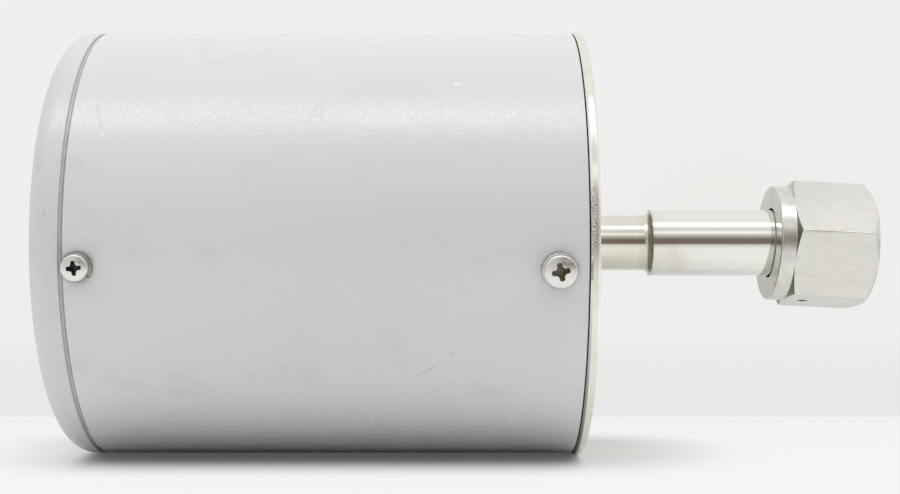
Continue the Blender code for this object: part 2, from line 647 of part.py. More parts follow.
def add_sensor(finishes):
    """Make the capacitance sensor and the bracket that carries it."""
    tube_hole = TUBE_RADIUS + CLEARANCE
    bracket_back = SENSOR_FRONT + CLEARANCE
    bracket_front = bracket_back + BRACKET_THICKNESS
    bracket = turned("sensor_bracket", [
        (bracket_front, tube_hole), (bracket_front, SENSOR_RADIUS),
        (bracket_back, SENSOR_RADIUS), (bracket_back, tube_hole)], INNER_STEPS)
    post_circle = SENSOR_RADIUS - BRACKET_POST_INSET
    posts = []
    for angle in evenly(STANDOFF_COUNT, STANDOFF_ANGLE):
        post = prism("post", circle(BRACKET_POST_RADIUS, SMALL_STEPS, polar(post_circle, angle)),
                     bracket_front - BRACKET_THICKNESS / 2, PLATE_INNER - CLEARANCE)
        posts.append(post)
    add_object("sensor_bracket", joined(bracket, *posts), finishes["steel"])

    inlet_bore = SENSOR_RADIUS - SENSOR_WALL
    cover = turned("sensor_inlet_cover", [
        (SENSOR_FRONT, tube_hole), (SENSOR_FRONT, SENSOR_RADIUS), (INLET_RIM, SENSOR_RADIUS),
        (INLET_RIM, inlet_bore), (INLET_FLOOR, inlet_bore), (INLET_FLOOR, tube_hole)], INNER_STEPS)
    add_object("sensor_inlet_cover", cover, finishes["steel"])

    baffle_front = INLET_FLOOR - CLEARANCE
    baffle = turned("inlet_baffle", [
        (baffle_front - BAFFLE_DEPTH, 0.0), (baffle_front - BAFFLE_DEPTH, BAFFLE_RADIUS),
        (baffle_front, BAFFLE_RADIUS), (baffle_front, BAFFLE_RADIUS - BAFFLE_WALL),
        (baffle_front - BAFFLE_DEPTH + BAFFLE_WALL, BAFFLE_RADIUS - BAFFLE_WALL),
        (baffle_front - BAFFLE_DEPTH + BAFFLE_WALL, 0.0)], INNER_STEPS)
    slots = []
    for angle in (0.0, math.pi / 2):
        slot = prism("slot", rectangle(4 * BAFFLE_RADIUS, BAFFLE_SLOT),
                     baffle_front - BAFFLE_DEPTH + 2 * BAFFLE_WALL, baffle_front + BAFFLE_WALL)
        slot.transform(Matrix.Rotation(angle, 4, "X"))
        slots.append(slot)
    add_object("inlet_baffle", cut(baffle, *slots), finishes["steel"])

    diaphragm = prism("diaphragm", circle(SENSOR_RADIUS, INNER_STEPS),
                      DIAPHRAGM_FRONT - DIAPHRAGM_THICKNESS, DIAPHRAGM_FRONT)
    add_object("diaphragm", diaphragm, finishes["foil"])

    spacer_radius = REFERENCE_BORE - CLEARANCE
    spacer = turned("spacer_ring", [
        (REFERENCE_RIM, spacer_radius - SPACER_WIDTH), (REFERENCE_RIM, spacer_radius),
        (REFERENCE_RIM - SPACER_THICKNESS, spacer_radius),
        (REFERENCE_RIM - SPACER_THICKNESS, spacer_radius - SPACER_WIDTH)], INNER_STEPS)
    add_object("spacer_ring", spacer, finishes["steel"])
    electrode = prism("electrode_disc", circle(REFERENCE_BORE - ELECTRODE_SETBACK, INNER_STEPS),
                      ELECTRODE_BACK, ELECTRODE_FRONT)
    add_object("electrode_disc", electrode, finishes["ceramic"])
    add_object("wave_spring", wave_spring_mesh(), finishes["steel"])

    reference = turned("reference_cover", [
        (REFERENCE_RIM, REFERENCE_BORE), (REFERENCE_RIM, SENSOR_RADIUS), (REFERENCE_BACK, SENSOR_RADIUS),
        (REFERENCE_BACK, 0.0), (REFERENCE_FLOOR, 0.0), (REFERENCE_FLOOR, REFERENCE_BORE)], INNER_STEPS)
    holes = [prism("hole", circle(FEEDTHROUGH_RADIUS + CLEARANCE, SMALL_STEPS,
                                  polar(FEEDTHROUGH_CIRCLE, angle)),
                   REFERENCE_BACK - SENSOR_WALL, REFERENCE_FLOOR + SENSOR_WALL)
             for angle in FEEDTHROUGH_ANGLES]
    add_object("reference_cover", cut(reference, *holes), finishes["steel"])
    add_sensor_fittings(finishes)


def wave_spring_mesh():
    """Make the wavy ring that presses the electrode forward."""
    shape = bmesh.new()
    swing = (WAVE_SPRING_HEIGHT - WAVE_SPRING_STRIP) / 2
    middle = (SPRING_FRONT + SPRING_BACK) / 2
    spring_radius = REFERENCE_BORE - WAVE_SPRING_INSET
    inner = spring_radius - WAVE_SPRING_WIDTH / 2
    outer = spring_radius + WAVE_SPRING_WIDTH / 2
    half = WAVE_SPRING_STRIP / 2
    loops = []
    for step in range(WAVE_STEPS):
        angle = 2 * math.pi * step / WAVE_STEPS
        x = middle + swing * math.cos(WAVE_COUNT * angle)
        corners = ((x - half, inner), (x - half, outer), (x + half, outer), (x + half, inner))
        loops.append([shape.verts.new((place, radius * math.cos(angle), radius * math.sin(angle)))
                      for place, radius in corners])
    for here, ahead in zip(loops, loops[1:] + loops[:1]):
        for side in range(4):
            after = (side + 1) % 4
            shape.faces.new((here[side], here[after], ahead[after], ahead[side]))
    return to_mesh("wave_spring", shape)


def add_sensor_fittings(finishes):
    """Make the feedthroughs, the getter and the sealed pump-out tube."""
    for number, angle in enumerate(FEEDTHROUGH_ANGLES, 1):
        rim = REFERENCE_BACK - CLEARANCE
        pin_back = rim - FEEDTHROUGH_FLANGE - FEEDTHROUGH_PIN_LENGTH
        profile = [
            (pin_back, 0.0), (pin_back, FEEDTHROUGH_PIN), (rim - FEEDTHROUGH_FLANGE, FEEDTHROUGH_PIN),
            (rim - FEEDTHROUGH_FLANGE, FEEDTHROUGH_RADIUS + FEEDTHROUGH_FLANGE),
            (rim, FEEDTHROUGH_RADIUS + FEEDTHROUGH_FLANGE), (rim, FEEDTHROUGH_RADIUS),
            (REFERENCE_FLOOR, FEEDTHROUGH_RADIUS), (REFERENCE_FLOOR, FEEDTHROUGH_PIN),
            (ELECTRODE_BACK - CLEARANCE, FEEDTHROUGH_PIN), (ELECTRODE_BACK - CLEARANCE, 0.0)]
        mesh = shifted(turned("feedthrough", profile, SMALL_STEPS), *polar(FEEDTHROUGH_CIRCLE, angle))
        add_object(f"electrode_feedthrough_{number}", mesh, finishes["ceramic"])

    seat = REFERENCE_BACK - CLEARANCE
    getter = turned("getter_capsule", [
        (seat - GETTER_LENGTH, 0.0), (seat - GETTER_LENGTH, GETTER_RADIUS - GETTER_CHAMFER),
        (seat - GETTER_LENGTH + GETTER_CHAMFER, GETTER_RADIUS), (seat, GETTER_RADIUS),
        (seat, 0.0)], SMALL_STEPS)
    getter = shifted(getter, *polar(SENSOR_RADIUS - GETTER_INSET, GETTER_ANGLE))
    add_object("getter_capsule", getter, finishes["steel"])

    tip = seat - PINCH_TUBE_LENGTH
    pinch = turned("pinch_off_tube", [
        (tip, 0.0), (tip, PINCH_TUBE_RADIUS), (seat - CLEARANCE, PINCH_TUBE_RADIUS),
        (seat, PINCH_TUBE_RADIUS), (seat, 0.0)], SMALL_STEPS)
    flatten_tip(pinch, tip)
    add_object("pinch_off_tube", pinch, finishes["copper"])


def flatten_tip(mesh, tip):
    """Squeeze the end of the pump-out tube as the pinch-off tool does."""
    for vert in mesh.vertices:
        if vert.co.x < tip + CLEARANCE:
            vert.co.y *= PINCH_WIDENING
            vert.co.z *= PINCH_FLATTENING


def add_thermal_enclosure(finishes):
    """Make the heated can, its lid, the heater and the insulation."""
    flange_radius = SPIGOT_RADIUS - THERMAL_FLANGE_SETBACK
    thermal = turned("thermal_can", [
        (THERMAL_FRONT, THERMAL_BORE), (THERMAL_FRONT, flange_radius),
        (THERMAL_FRONT - THERMAL_WALL, flange_radius), (THERMAL_FRONT - THERMAL_WALL, THERMAL_RADIUS),
        (THERMAL_BACK, THERMAL_RADIUS), (THERMAL_BACK, THERMAL_BORE)], INNER_STEPS)
    add_object("thermal_can", thermal, finishes["aluminium"])

    rim = THERMAL_BORE - CLEARANCE
    lid = turned("thermal_lid", [
        (LID_BACK, 0.0), (LID_BACK, THERMAL_RADIUS), (LID_FRONT, THERMAL_RADIUS), (LID_FRONT, rim),
        (LID_FRONT + LID_RIM, rim), (LID_FRONT + LID_RIM, rim - THERMAL_WALL),
        (LID_FRONT, rim - THERMAL_WALL), (LID_FRONT, 0.0)], INNER_STEPS)
    lead_hole = ELECTRODE_LEAD_RADIUS + CLEARANCE
    lead_holes = [circle(lead_hole, SMALL_STEPS, polar(FEEDTHROUGH_CIRCLE, angle))
                  for angle in FEEDTHROUGH_ANGLES]
    drills = [prism("drill", outline, LID_BACK - LID_RIM, LID_FRONT + LID_RIM) for outline in lead_holes]
    add_object("thermal_lid", cut(lid, *drills), finishes["aluminium"])

    heater = turned("heater_band", [
        (HEATER_FRONT, HEATER_RADIUS), (HEATER_FRONT, HEATER_RADIUS + HEATER_THICKNESS),
        (HEATER_BACK, HEATER_RADIUS + HEATER_THICKNESS), (HEATER_BACK, HEATER_RADIUS)], INNER_STEPS)
    split = channel_cutter("split", HEATER_SPLIT, HEATER_BACK - CLEARANCE, HEATER_FRONT + CLEARANCE,
                           HEATER_LEAD_ANGLE + math.pi)
    add_object("heater_band", cut(heater, split), finishes["heater"])

    sleeve_front = THERMAL_FRONT - THERMAL_WALL - CLEARANCE
    sleeve = turned("insulation_sleeve", [
        (sleeve_front, SLEEVE_BORE), (sleeve_front, SPIGOT_RADIUS), (LID_BACK, SPIGOT_RADIUS),
        (LID_BACK, SLEEVE_BORE)], INNER_STEPS)
    channel = channel_cutter("channel", LEAD_CHANNEL, LID_BACK - CLEARANCE, sleeve_front + CLEARANCE,
                             HEATER_LEAD_ANGLE)
    add_object("insulation_sleeve", cut(sleeve, channel), finishes["foam"])

    disc = prism("insulation_disc", circle(SPIGOT_RADIUS, INNER_STEPS), DISC_BACK, DISC_FRONT)
    standoff_hole = STANDOFF_ACROSS_FLATS / math.sqrt(3.0) + CLEARANCE
    outlines = [circle(standoff_hole, SMALL_STEPS, polar(STANDOFF_CIRCLE, angle))
                for angle in evenly(STANDOFF_COUNT, STANDOFF_ANGLE)]
    outlines += lead_holes
    outlines.append(circle(HEATER_LEAD_RADIUS + CLEARANCE, SMALL_STEPS,
                           polar(LEAD_CIRCLE, HEATER_LEAD_ANGLE)))
    outlines.append(circle(THERMOSTAT_RADIUS + CLEARANCE, SMALL_STEPS,
                           polar(THERMOSTAT_CIRCLE, THERMOSTAT_ANGLE)))
    drills = [prism("drill", outline, DISC_BACK - CLEARANCE, DISC_FRONT + CLEARANCE) for outline in outlines]
    add_object("insulation_disc", cut(disc, *drills), finishes["foam"])

    tab_end = DISC_FRONT - THERMOSTAT_HEIGHT - THERMOSTAT_TAB_LENGTH
    thermostat = turned("thermostat", [
        (tab_end, 0.0), (tab_end, THERMOSTAT_TAB_RADIUS),
        (DISC_FRONT - THERMOSTAT_HEIGHT, THERMOSTAT_TAB_RADIUS),
        (DISC_FRONT - THERMOSTAT_HEIGHT, THERMOSTAT_RADIUS - BLEND), (DISC_FRONT, THERMOSTAT_RADIUS),
        (DISC_FRONT, 0.0)], SMALL_STEPS)
    thermostat = shifted(thermostat, *polar(THERMOSTAT_CIRCLE, THERMOSTAT_ANGLE))
    add_object("thermostat", thermostat, finishes["plastic"])


def channel_cutter(name, width, low, high, angle):
    """Make a bar that cuts a lengthwise channel through one side of a ring."""
    bar = prism(name, rectangle(CAN_RADIUS, width, (THERMAL_RADIUS, 0.0)), low, high)
    bar.transform(Matrix.Rotation(math.pi - angle, 4, "X"))
    return bar


def add_electronics(finishes):
    """Make the circuit board on its standoffs, with its leads."""
    board = prism("circuit_board", circle(CAN_BORE - BOARD_EDGE_GAP, INNER_STEPS), BOARD_BACK, BOARD_FRONT)
    parts = []
    sink = BOARD_THICKNESS / 2
    for y, z, width, height, depth in CHIP_SIZES:
        parts.append(prism("chip", rectangle(width, height, (y, z)), BOARD_BACK - depth, BOARD_BACK + sink))
    for place in COIL_PLACES:
        parts.append(prism("coil", circle(COIL_RADIUS, SMALL_STEPS, place),
                           BOARD_BACK - COIL_HEIGHT, BOARD_BACK + sink))
    parts.append(prism("header", rectangle(HEADER_LENGTH, HEADER_WIDTH, (0.0, HEADER_OFFSET)),
                       BOARD_BACK - HEADER_HEIGHT, BOARD_BACK + sink))
    board = joined(board, *parts)
    screw_hole = BOARD_SCREW_SHANK + HOLE_CLEARANCE
    angles = evenly(STANDOFF_COUNT, STANDOFF_ANGLE)
    drills = [prism("drill", circle(screw_hole, SMALL_STEPS, polar(STANDOFF_CIRCLE, angle)),
                    BOARD_BACK - BOARD_THICKNESS, BOARD_FRONT + BOARD_THICKNESS) for angle in angles]
    add_object("circuit_board", cut(board, *drills), finishes["board"])

    seat = BOARD_BACK - SCREW_SEAT
    screw = pan_screw_mesh("board_screw", BOARD_SCREW_SHANK, BOARD_SCREW_HEAD, BOARD_SCREW_HEIGHT,
                           BOARD_SCREW_GRIP)
    screw.transform(Matrix.Rotation(-math.pi / 2, 4, "Y"))
    for number, angle in enumerate(angles, 1):
        place = polar(STANDOFF_CIRCLE, angle)
        spacer = prism("board_standoff", hexagon(STANDOFF_ACROSS_FLATS, place), STANDOFF_BACK, DISC_FRONT)
        bore = prism("bore", circle(screw_hole, SMALL_STEPS, place), STANDOFF_BACK - CLEARANCE,
                     STANDOFF_BACK + BOARD_SCREW_GRIP)
        add_object(f"board_standoff_{number}", cut(spacer, bore), finishes["aluminium"])
        placed = add_object(f"board_screw_{number}", screw.copy(), finishes["screw"])
        placed.location = (seat, *place)

    pin_back = REFERENCE_BACK - CLEARANCE - FEEDTHROUGH_FLANGE - FEEDTHROUGH_PIN_LENGTH
    lead_end = BOARD_FRONT + CLEARANCE
    for number, angle in enumerate(FEEDTHROUGH_ANGLES, 1):
        place = polar(FEEDTHROUGH_CIRCLE, angle)
        points = [(pin_back - CLEARANCE, *place), (lead_end, *place)]
        add_lead(f"electrode_lead_{number}", points, ELECTRODE_LEAD_RADIUS, finishes["wire"])
    place = polar(LEAD_CIRCLE, HEATER_LEAD_ANGLE)
    points = [(HEATER_BACK - CLEARANCE, *place), (lead_end, *place)]
    add_lead("heater_lead", points, HEATER_LEAD_RADIUS, finishes["wire"])

    start = Vector((BOARD_BACK - HEADER_HEIGHT - CLEARANCE, 0.0, HEADER_OFFSET))
    end = Vector((INLET_SEAT + SHELL_BODY_DEPTH + PIN_TAIL + CLEARANCE, 0.0, 0.0))
    add_lead("signal_harness", s_bend(start, end), HARNESS_RADIUS, finishes["wire"])


def s_bend(start, end):
    """Run a lead straight out of one end, across, and straight into the other."""
    ease = Vector(((end.x - start.x) / 2, 0.0, 0.0))
    points = []
    for step in range(LEAD_STEPS + 1):
        t = step / LEAD_STEPS
        near, far = 1.0 - t, t
        points.append(near ** 3 * start + 3 * near ** 2 * far * (start + ease)
                      + 3 * near * far ** 2 * (end - ease) + far ** 3 * end)
    return points


def add_lead(name, points, radius, material):
    """Make a round lead along a route."""
    curve = bpy.data.curves.new(name, "CURVE")
    curve.dimensions = "3D"
    curve.bevel_depth = radius
    curve.bevel_resolution = 2
    curve.use_fill_caps = True
    spline = curve.splines.new("POLY")
    spline.points.add(len(points) - 1)
    for knot, point in zip(spline.points, points):
        knot.co = (*point, 1.0)
    curve.materials.append(material)
    lead = bpy.data.objects.new(name, curve)
    bpy.context.collection.objects.link(lead)


def shell_outline(growth):
    """Give the D-shaped outline of the signal inlet, grown all round."""
    half_height = SHELL_HEIGHT / 2 + growth
    shift = half_height * math.tan(SHELL_SLOPE)
    half_middle = SHELL_TOP_WIDTH / 2 - SHELL_HEIGHT / 2 * math.tan(SHELL_SLOPE) + growth
    corners = [(-half_middle + shift, -half_height), (half_middle - shift, -half_height),
               (half_middle + shift, half_height), (-half_middle - shift, half_height)]
    return rounded(corners, SHELL_ROUND + growth)


def jack_places():
    """Give the Y places of the two jack posts."""
    return (-JACK_SPACING / 2, JACK_SPACING / 2)


def add_signal_inlet(finishes):
    """Make the fifteen-way inlet with its pins and jack posts."""
    flange_back = INLET_SEAT - INLET_FLANGE_THICKNESS
    flange = prism("signal_inlet_shell",
                   rounded(rectangle(INLET_FLANGE_LENGTH, INLET_FLANGE_HEIGHT), INLET_FLANGE_ROUND),
                   flange_back, INLET_SEAT)
    tongue = prism("tongue", shell_outline(0.0), flange_back - SHELL_REACH, INLET_SEAT + SHELL_BODY_DEPTH)
    hollow = prism("hollow", shell_outline(-SHELL_SHEET), flange_back - SHELL_REACH - CLEARANCE,
                   INLET_SEAT + SHELL_BODY_DEPTH + CLEARANCE)
    holes = [prism("hole", circle(JACK_SHANK + HOLE_CLEARANCE, HOLE_STEPS, (y, 0.0)),
                   flange_back - CLEARANCE, INLET_SEAT + CLEARANCE) for y in jack_places()]
    add_object("signal_inlet_shell", cut(joined(flange, tongue), hollow, *holes), finishes["inlet"])

    face = flange_back - SHELL_REACH + INSERT_SETBACK
    back = INLET_SEAT + SHELL_BODY_DEPTH
    insert = prism("signal_inlet_insert", shell_outline(-SHELL_SHEET - CLEARANCE), face, back)
    pins = []
    for count, z in PIN_ROWS:
        for index in range(count):
            y = (index - (count - 1) / 2) * PIN_PITCH
            pins.append(prism("pin", circle(PIN_RADIUS, PIN_STEPS, (y, z)),
                              face - PIN_REACH, back + PIN_TAIL))
    add_object("signal_inlet_insert", joined(insert, *pins), finishes["insert"])

    for number, y in enumerate(jack_places(), 1):
        top = flange_back - CLEARANCE - JACK_HEIGHT
        seat = flange_back - CLEARANCE
        post = prism("jack_post", hexagon(JACK_ACROSS_FLATS, (y, 0.0)), top, seat)
        shank = shifted(turned("shank", [
            (seat - BLEND, 0.0), (seat - BLEND, JACK_SHANK), (seat + JACK_GRIP, JACK_SHANK),
            (seat + JACK_GRIP, 0.0)], HOLE_STEPS), y, 0.0)
        bore = prism("bore", circle(JACK_BORE, HOLE_STEPS, (y, 0.0)), top - CLEARANCE,
                     seat - CLEARANCE)
        add_object(f"jack_post_{number}", cut(joined(post, shank), bore), finishes["screw"])


def build():
    """Model the whole transducer."""
    clear_scene()
    finishes = {
        "paint": finish("housing_paint", (0.53, 0.56, 0.57), 0.42, 0.0),
        "cap": finish("cap_paint", (0.50, 0.53, 0.53), 0.42, 0.0),
        "plate": finish("turned_plate", (0.66, 0.63, 0.58), 0.35, 1.0),
        "tube": finish("tube_steel", (0.68, 0.66, 0.63), 0.14, 1.0),
        "gland": finish("gland_steel", (0.68, 0.66, 0.63), 0.14, 1.0),
        "nut": finish("nut_steel", (0.68, 0.66, 0.62), 0.28, 1.0),
        "screw": finish("screw_steel", (0.70, 0.70, 0.69), 0.2, 1.0),
        "washer": finish("washer_steel", (0.55, 0.54, 0.52), 0.3, 1.0),
        "steel": finish("sensor_steel", (0.62, 0.61, 0.60), 0.3, 1.0),
        "foil": finish("diaphragm_foil", (0.60, 0.60, 0.61), 0.2, 1.0),
        "ceramic": finish("white_ceramic", (0.85, 0.84, 0.80), 0.4, 0.0),
        "copper": finish("bare_copper", (0.80, 0.45, 0.32), 0.3, 1.0),
        "aluminium": finish("plain_aluminium", (0.75, 0.76, 0.77), 0.4, 1.0),
        "heater": finish("heater_rubber", (0.45, 0.16, 0.09), 0.6, 0.0),
        "foam": finish("insulation_foam", (0.78, 0.74, 0.62), 0.9, 0.0),
        "plastic": finish("black_plastic", (0.03, 0.03, 0.03), 0.5, 0.0),
        "board": finish("green_board", (0.03, 0.19, 0.09), 0.4, 0.0),
        "wire": finish("wire_jacket", (0.35, 0.36, 0.38), 0.5, 0.0),
        "inlet": finish("tinned_shell", (0.70, 0.69, 0.64), 0.3, 1.0),
        "insert": finish("insert_plastic", (0.04, 0.04, 0.045), 0.45, 0.0),
    }
    add_housing(finishes)
    add_port(finishes)
    add_coupling_nut(finishes)
    add_sensor(finishes)
    add_thermal_enclosure(finishes)
    add_electronics(finishes)
    add_signal_inlet(finishes)


build()
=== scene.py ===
"""Dress the pressure transducer: painted can and cap, steel port, loose nut and inlet.

All lengths are in metres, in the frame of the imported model: X runs out of the port
along the housing's axis, Z is up, and the camera looks along +Y.
"""
import logging
import math
from collections.abc import Callable, Sequence
from dataclasses import dataclass, field
from enum import Enum

import bmesh
import bpy
from mathutils import Matrix, Vector


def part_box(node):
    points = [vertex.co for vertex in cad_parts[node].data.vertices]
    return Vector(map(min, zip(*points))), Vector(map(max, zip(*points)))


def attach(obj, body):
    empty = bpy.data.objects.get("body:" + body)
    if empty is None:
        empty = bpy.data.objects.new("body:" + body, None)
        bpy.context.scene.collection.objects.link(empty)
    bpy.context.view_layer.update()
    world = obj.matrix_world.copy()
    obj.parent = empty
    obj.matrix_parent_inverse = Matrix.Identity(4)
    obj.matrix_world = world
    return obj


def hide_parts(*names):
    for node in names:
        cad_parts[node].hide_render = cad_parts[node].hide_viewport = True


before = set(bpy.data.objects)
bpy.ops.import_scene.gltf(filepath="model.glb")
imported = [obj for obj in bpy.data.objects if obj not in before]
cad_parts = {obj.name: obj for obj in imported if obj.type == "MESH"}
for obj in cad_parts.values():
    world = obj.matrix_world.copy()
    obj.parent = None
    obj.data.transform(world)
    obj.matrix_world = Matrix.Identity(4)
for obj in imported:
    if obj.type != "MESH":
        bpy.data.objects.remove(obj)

log = logging.getLogger("transducer")

Point = tuple[float, float]
Colour = tuple[float, float, float]
Socket = bpy.types.NodeSocket
Mesh = bpy.types.Mesh
Material = bpy.types.Material
Warp = Callable[[float, float, float], Point]

# Grime, and also the colour of painted shade at the washers' edges and in the cap's groove
GRIME_AND_SHADE: Colour = (0.13, 0.13, 0.12)
HOUSING = "housing"
NUT = "nut"

# Facets round a whole turn, and in one rounded corner
CAN_STEPS = 192
PORT_STEPS = 128
NUT_STEPS = 144
SCREW_STEPS = 64
HOLE_STEPS = 32
CROWN_STEPS = 48
PIN_STEPS = 20
FILLET_FACETS = 4

# How close points merge, and how far a cutter runs past what it cuts
MERGE = 0.0000005
EDGE_MERGE = 0.00001
PAST = 0.001

# How squarely a face looks along X where it counts as an end face
FLAT = 0.95

# How far a chord's length may be off, as a share of its corner's radius
CHORD_SLACK = 0.02

# The drills' own turn, which keeps their facets off those of the housing
DRILL_CLOCKING = math.radians(2.3)

# Where a mix node has its two colours and its result
MIXED_COLOURS = (6, 7)
MIXED_RESULT = 2


class Kind(Enum):
    """What a Boolean does with its tools."""

    CUT = "DIFFERENCE"
    JOIN = "UNION"
    KEEP = "INTERSECT"


class End(Enum):
    """The two ends of the housing that screws hold."""

    CAP = "cap"
    BASE = "base"


class NutFace(Enum):
    """How the nut's faces are finished, by the number of their material."""

    MILLED = 0
    TURNED = 1
    FACED = 2
    CHAMFER = 3


# Meshes


@dataclass(frozen=True)
class Corner:
    """One corner of a turned profile: its place, its radius and what rounds it."""

    x: float
    r: float
    fillet: float = 0.0


def softened(corners: Sequence[Corner], closed: bool) -> list[Point]:
    """Round a profile's corners.

    Args:
        corners: The profile's corners in order.
        closed: Whether the last corner joins the first.

    Returns:
        The (axial, radial) points of the rounded profile.
    """
    points: list[Point] = []
    count = len(corners)
    for index, corner in enumerate(corners):
        open_end = not closed and index in (0, count - 1)
        if corner.fillet == 0.0 or open_end:
            points.append((corner.x, corner.r))
            continue
        here = Vector((corner.x, corner.r))
        before = corners[index - 1]
        after = corners[(index + 1) % count]
        back = (Vector((before.x, before.r)) - here).normalized()
        ahead = (Vector((after.x, after.r)) - here).normalized()
        half = back.angle(ahead) / 2
        reach = corner.fillet / math.tan(half)
        centre = here + (back + ahead).normalized() * corner.fillet / math.sin(half)
        first = here + back * reach - centre
        turn = first.angle_signed(here + ahead * reach - centre)
        for step in range(FILLET_FACETS + 1):
            spoke = first.copy()
            spoke.rotate(Matrix.Rotation(-turn * step / FILLET_FACETS, 2))
            points.append(tuple(centre + spoke))
    return points


def skin(shape: bmesh.types.BMesh, rings: Sequence[Sequence[bmesh.types.BMVert]],
         closed: bool = True) -> None:
    """Join rings of points with faces.

    Args:
        shape: The shape that the rings belong to.
        rings: The rings in order, all with as many points.
        closed: Whether each ring's last point joins its first.
    """
    for here, ahead in zip(rings, rings[1:]):
        for index in range(len(here) if closed else len(here) - 1):
            after = (index + 1) % len(here)
            shape.faces.new((here[index], here[after], ahead[after], ahead[index]))


def revolved(name: str, points: Sequence[Point], steps: int, closed: bool = True,
             warp: Warp | None = None) -> Mesh:
    """Turn a profile about the X axis.

    Args:
        name: The mesh's name.
        points: The (axial, radial) points of the profile.
        steps: How many facets go round.
        closed: Whether the last point joins the first; if not, both ends lie on the axis.
        warp: Moves a point, given its axial place, radius and angle.

    Returns:
        The turned mesh.
    """
    shape = bmesh.new()
    rings = []
    for step in range(steps):
        angle = 2 * math.pi * step / steps
        warped = [warp(x, radius, angle) if warp else (x, radius) for x, radius in points]
        rings.append([shape.verts.new((x, radius * math.cos(angle), radius * math.sin(angle)))
                      for x, radius in warped])
    skin(shape, [*rings, rings[0]], closed)
    return to_mesh(name, shape)


def turned(name: str, corners: Sequence[Corner], steps: int, closed: bool = True) -> Mesh:
    """Round a profile's corners and turn it about the X axis."""
    return revolved(name, softened(corners, closed), steps, closed)


def to_mesh(name: str, shape: bmesh.types.BMesh) -> Mesh:
    """Merge doubled points, face the surface outwards and make mesh data of it."""
    bmesh.ops.remove_doubles(shape, verts=shape.verts, dist=MERGE)
    bmesh.ops.dissolve_degenerate(shape, edges=shape.edges, dist=MERGE)
    bmesh.ops.recalc_face_normals(shape, faces=shape.faces)
    mesh = bpy.data.meshes.new(name)
    shape.to_mesh(mesh)
    shape.free()
    return mesh


def extruded(name: str, outline: Sequence[Point], low: float, high: float) -> Mesh:
    """Run a closed (y, z) outline along X.

    Args:
        name: The mesh's name.
        outline: The outline's points in order.
        low: Where the piece starts on X.
        high: Where it ends.

    Returns:
        The closed mesh.
    """
    shape = bmesh.new()
    face = shape.faces.new([shape.verts.new((low, y, z)) for y, z in outline])
    grown = bmesh.ops.extrude_face_region(shape, geom=[face])
    moved = [item for item in grown["geom"] if isinstance(item, bmesh.types.BMVert)]
    bmesh.ops.translate(shape, verts=moved, vec=(high - low, 0, 0))
    return to_mesh(name, shape)


def circle(radius: float, steps: int, centre: Point = (0.0, 0.0)) -> list[Point]:
    """Give the points of a whole circle."""
    turns = [2 * math.pi * step / steps for step in range(steps)]
    return [(centre[0] + radius * math.cos(turn), centre[1] + radius * math.sin(turn)) for turn in turns]


def rounded(corners: Sequence[Point], radius: float) -> list[Point]:
    """Round all corners of an outline given anticlockwise by one radius."""
    return softened([Corner(y, z, radius) for y, z in corners], closed=True)


def rectangle(width: float, height: float, centre: Point = (0.0, 0.0)) -> list[Point]:
    """Give a rectangle's corners, anticlockwise."""
    half_y, half_z = width / 2, height / 2
    signs = ((-1, -1), (1, -1), (1, 1), (-1, 1))
    return [(centre[0] + y * half_y, centre[1] + z * half_z) for y, z in signs]


def added(name: str, data: bpy.types.ID) -> bpy.types.Object:
    """Put an object that shows some data into the scene."""
    item = bpy.data.objects.new(name, data)
    bpy.context.collection.objects.link(item)
    return item


def boolean(mesh: Mesh, tools: Sequence[Mesh], kind: Kind) -> Mesh:
    """Cut, join or keep a mesh's overlap with other meshes.

    Args:
        mesh: The mesh to work on.
        tools: The meshes to work with, used up here.
        kind: What is done.

    Returns:
        The new mesh, under the first one's name.
    """
    body = added("body", mesh)
    spent = [body]
    for tool in tools:
        modifier = body.modifiers.new("shape", "BOOLEAN")
        modifier.operation = kind.value
        modifier.object = added("tool", tool)
        spent.append(modifier.object)
    graph = bpy.context.evaluated_depsgraph_get()
    result = bpy.data.meshes.new_from_object(body.evaluated_get(graph))
    result.name = mesh.name
    for item in spent:
        bpy.data.objects.remove(item, do_unlink=True)
    return result


def eased(mesh: Mesh, width: float, sharpest: float, beyond: float = 0.0) -> Mesh:
    """Break a mesh's sharp edges as a deburring wheel does.

    Args:
        mesh: The mesh to work on.
        width: How wide the broken edge is.
        sharpest: The angle in degrees from which an edge counts as sharp.
        beyond: The distance from the X axis within which edges stay sharp.

    Returns:
        The same mesh.
    """
    shape = bmesh.new()
    shape.from_mesh(mesh)
    bmesh.ops.remove_doubles(shape, verts=shape.verts, dist=EDGE_MERGE)
    limit = math.radians(sharpest)
    edges = [edge for edge in shape.edges if len(edge.link_faces) == 2 and edge.calc_face_angle() > limit
             and min(math.hypot(*vert.co.yz) for vert in edge.verts) >= beyond]
    bmesh.ops.bevel(shape, geom=edges, offset=width, segments=2, profile=0.5, affect="EDGES",
                    clamp_overlap=True)
    bmesh.ops.recalc_face_normals(shape, faces=shape.faces)
    shape.to_mesh(mesh)
    shape.free()
    return mesh


def placed(mesh: Mesh, matrix: Matrix) -> Mesh:
    """Move a mesh's points by a matrix."""
    mesh.transform(matrix)
    return mesh


def upright(mesh: Mesh) -> Mesh:
    """Turn a mesh made along X so that it stands along Z."""
    return placed(mesh, Matrix.Rotation(-math.pi / 2, 4, "Y"))


def on_side(x: float, angle: float, radius: float, clocking: float = 0.0) -> Matrix:
    """Give the matrix that stands a +Z piece on the housing's side.

    Args:
        x: The place along the housing.
        angle: The angle from the side that faces -Y, towards +Z.
        radius: The distance from the axis.
        clocking: The piece's own turn about its length.

    Returns:
        The matrix.
    """
    place = Matrix.Translation((x, -radius * math.cos(angle), radius * math.sin(angle)))
    return place @ Matrix.Rotation(math.pi / 2 - angle, 4, "X") @ Matrix.Rotation(clocking, 4, "Z")


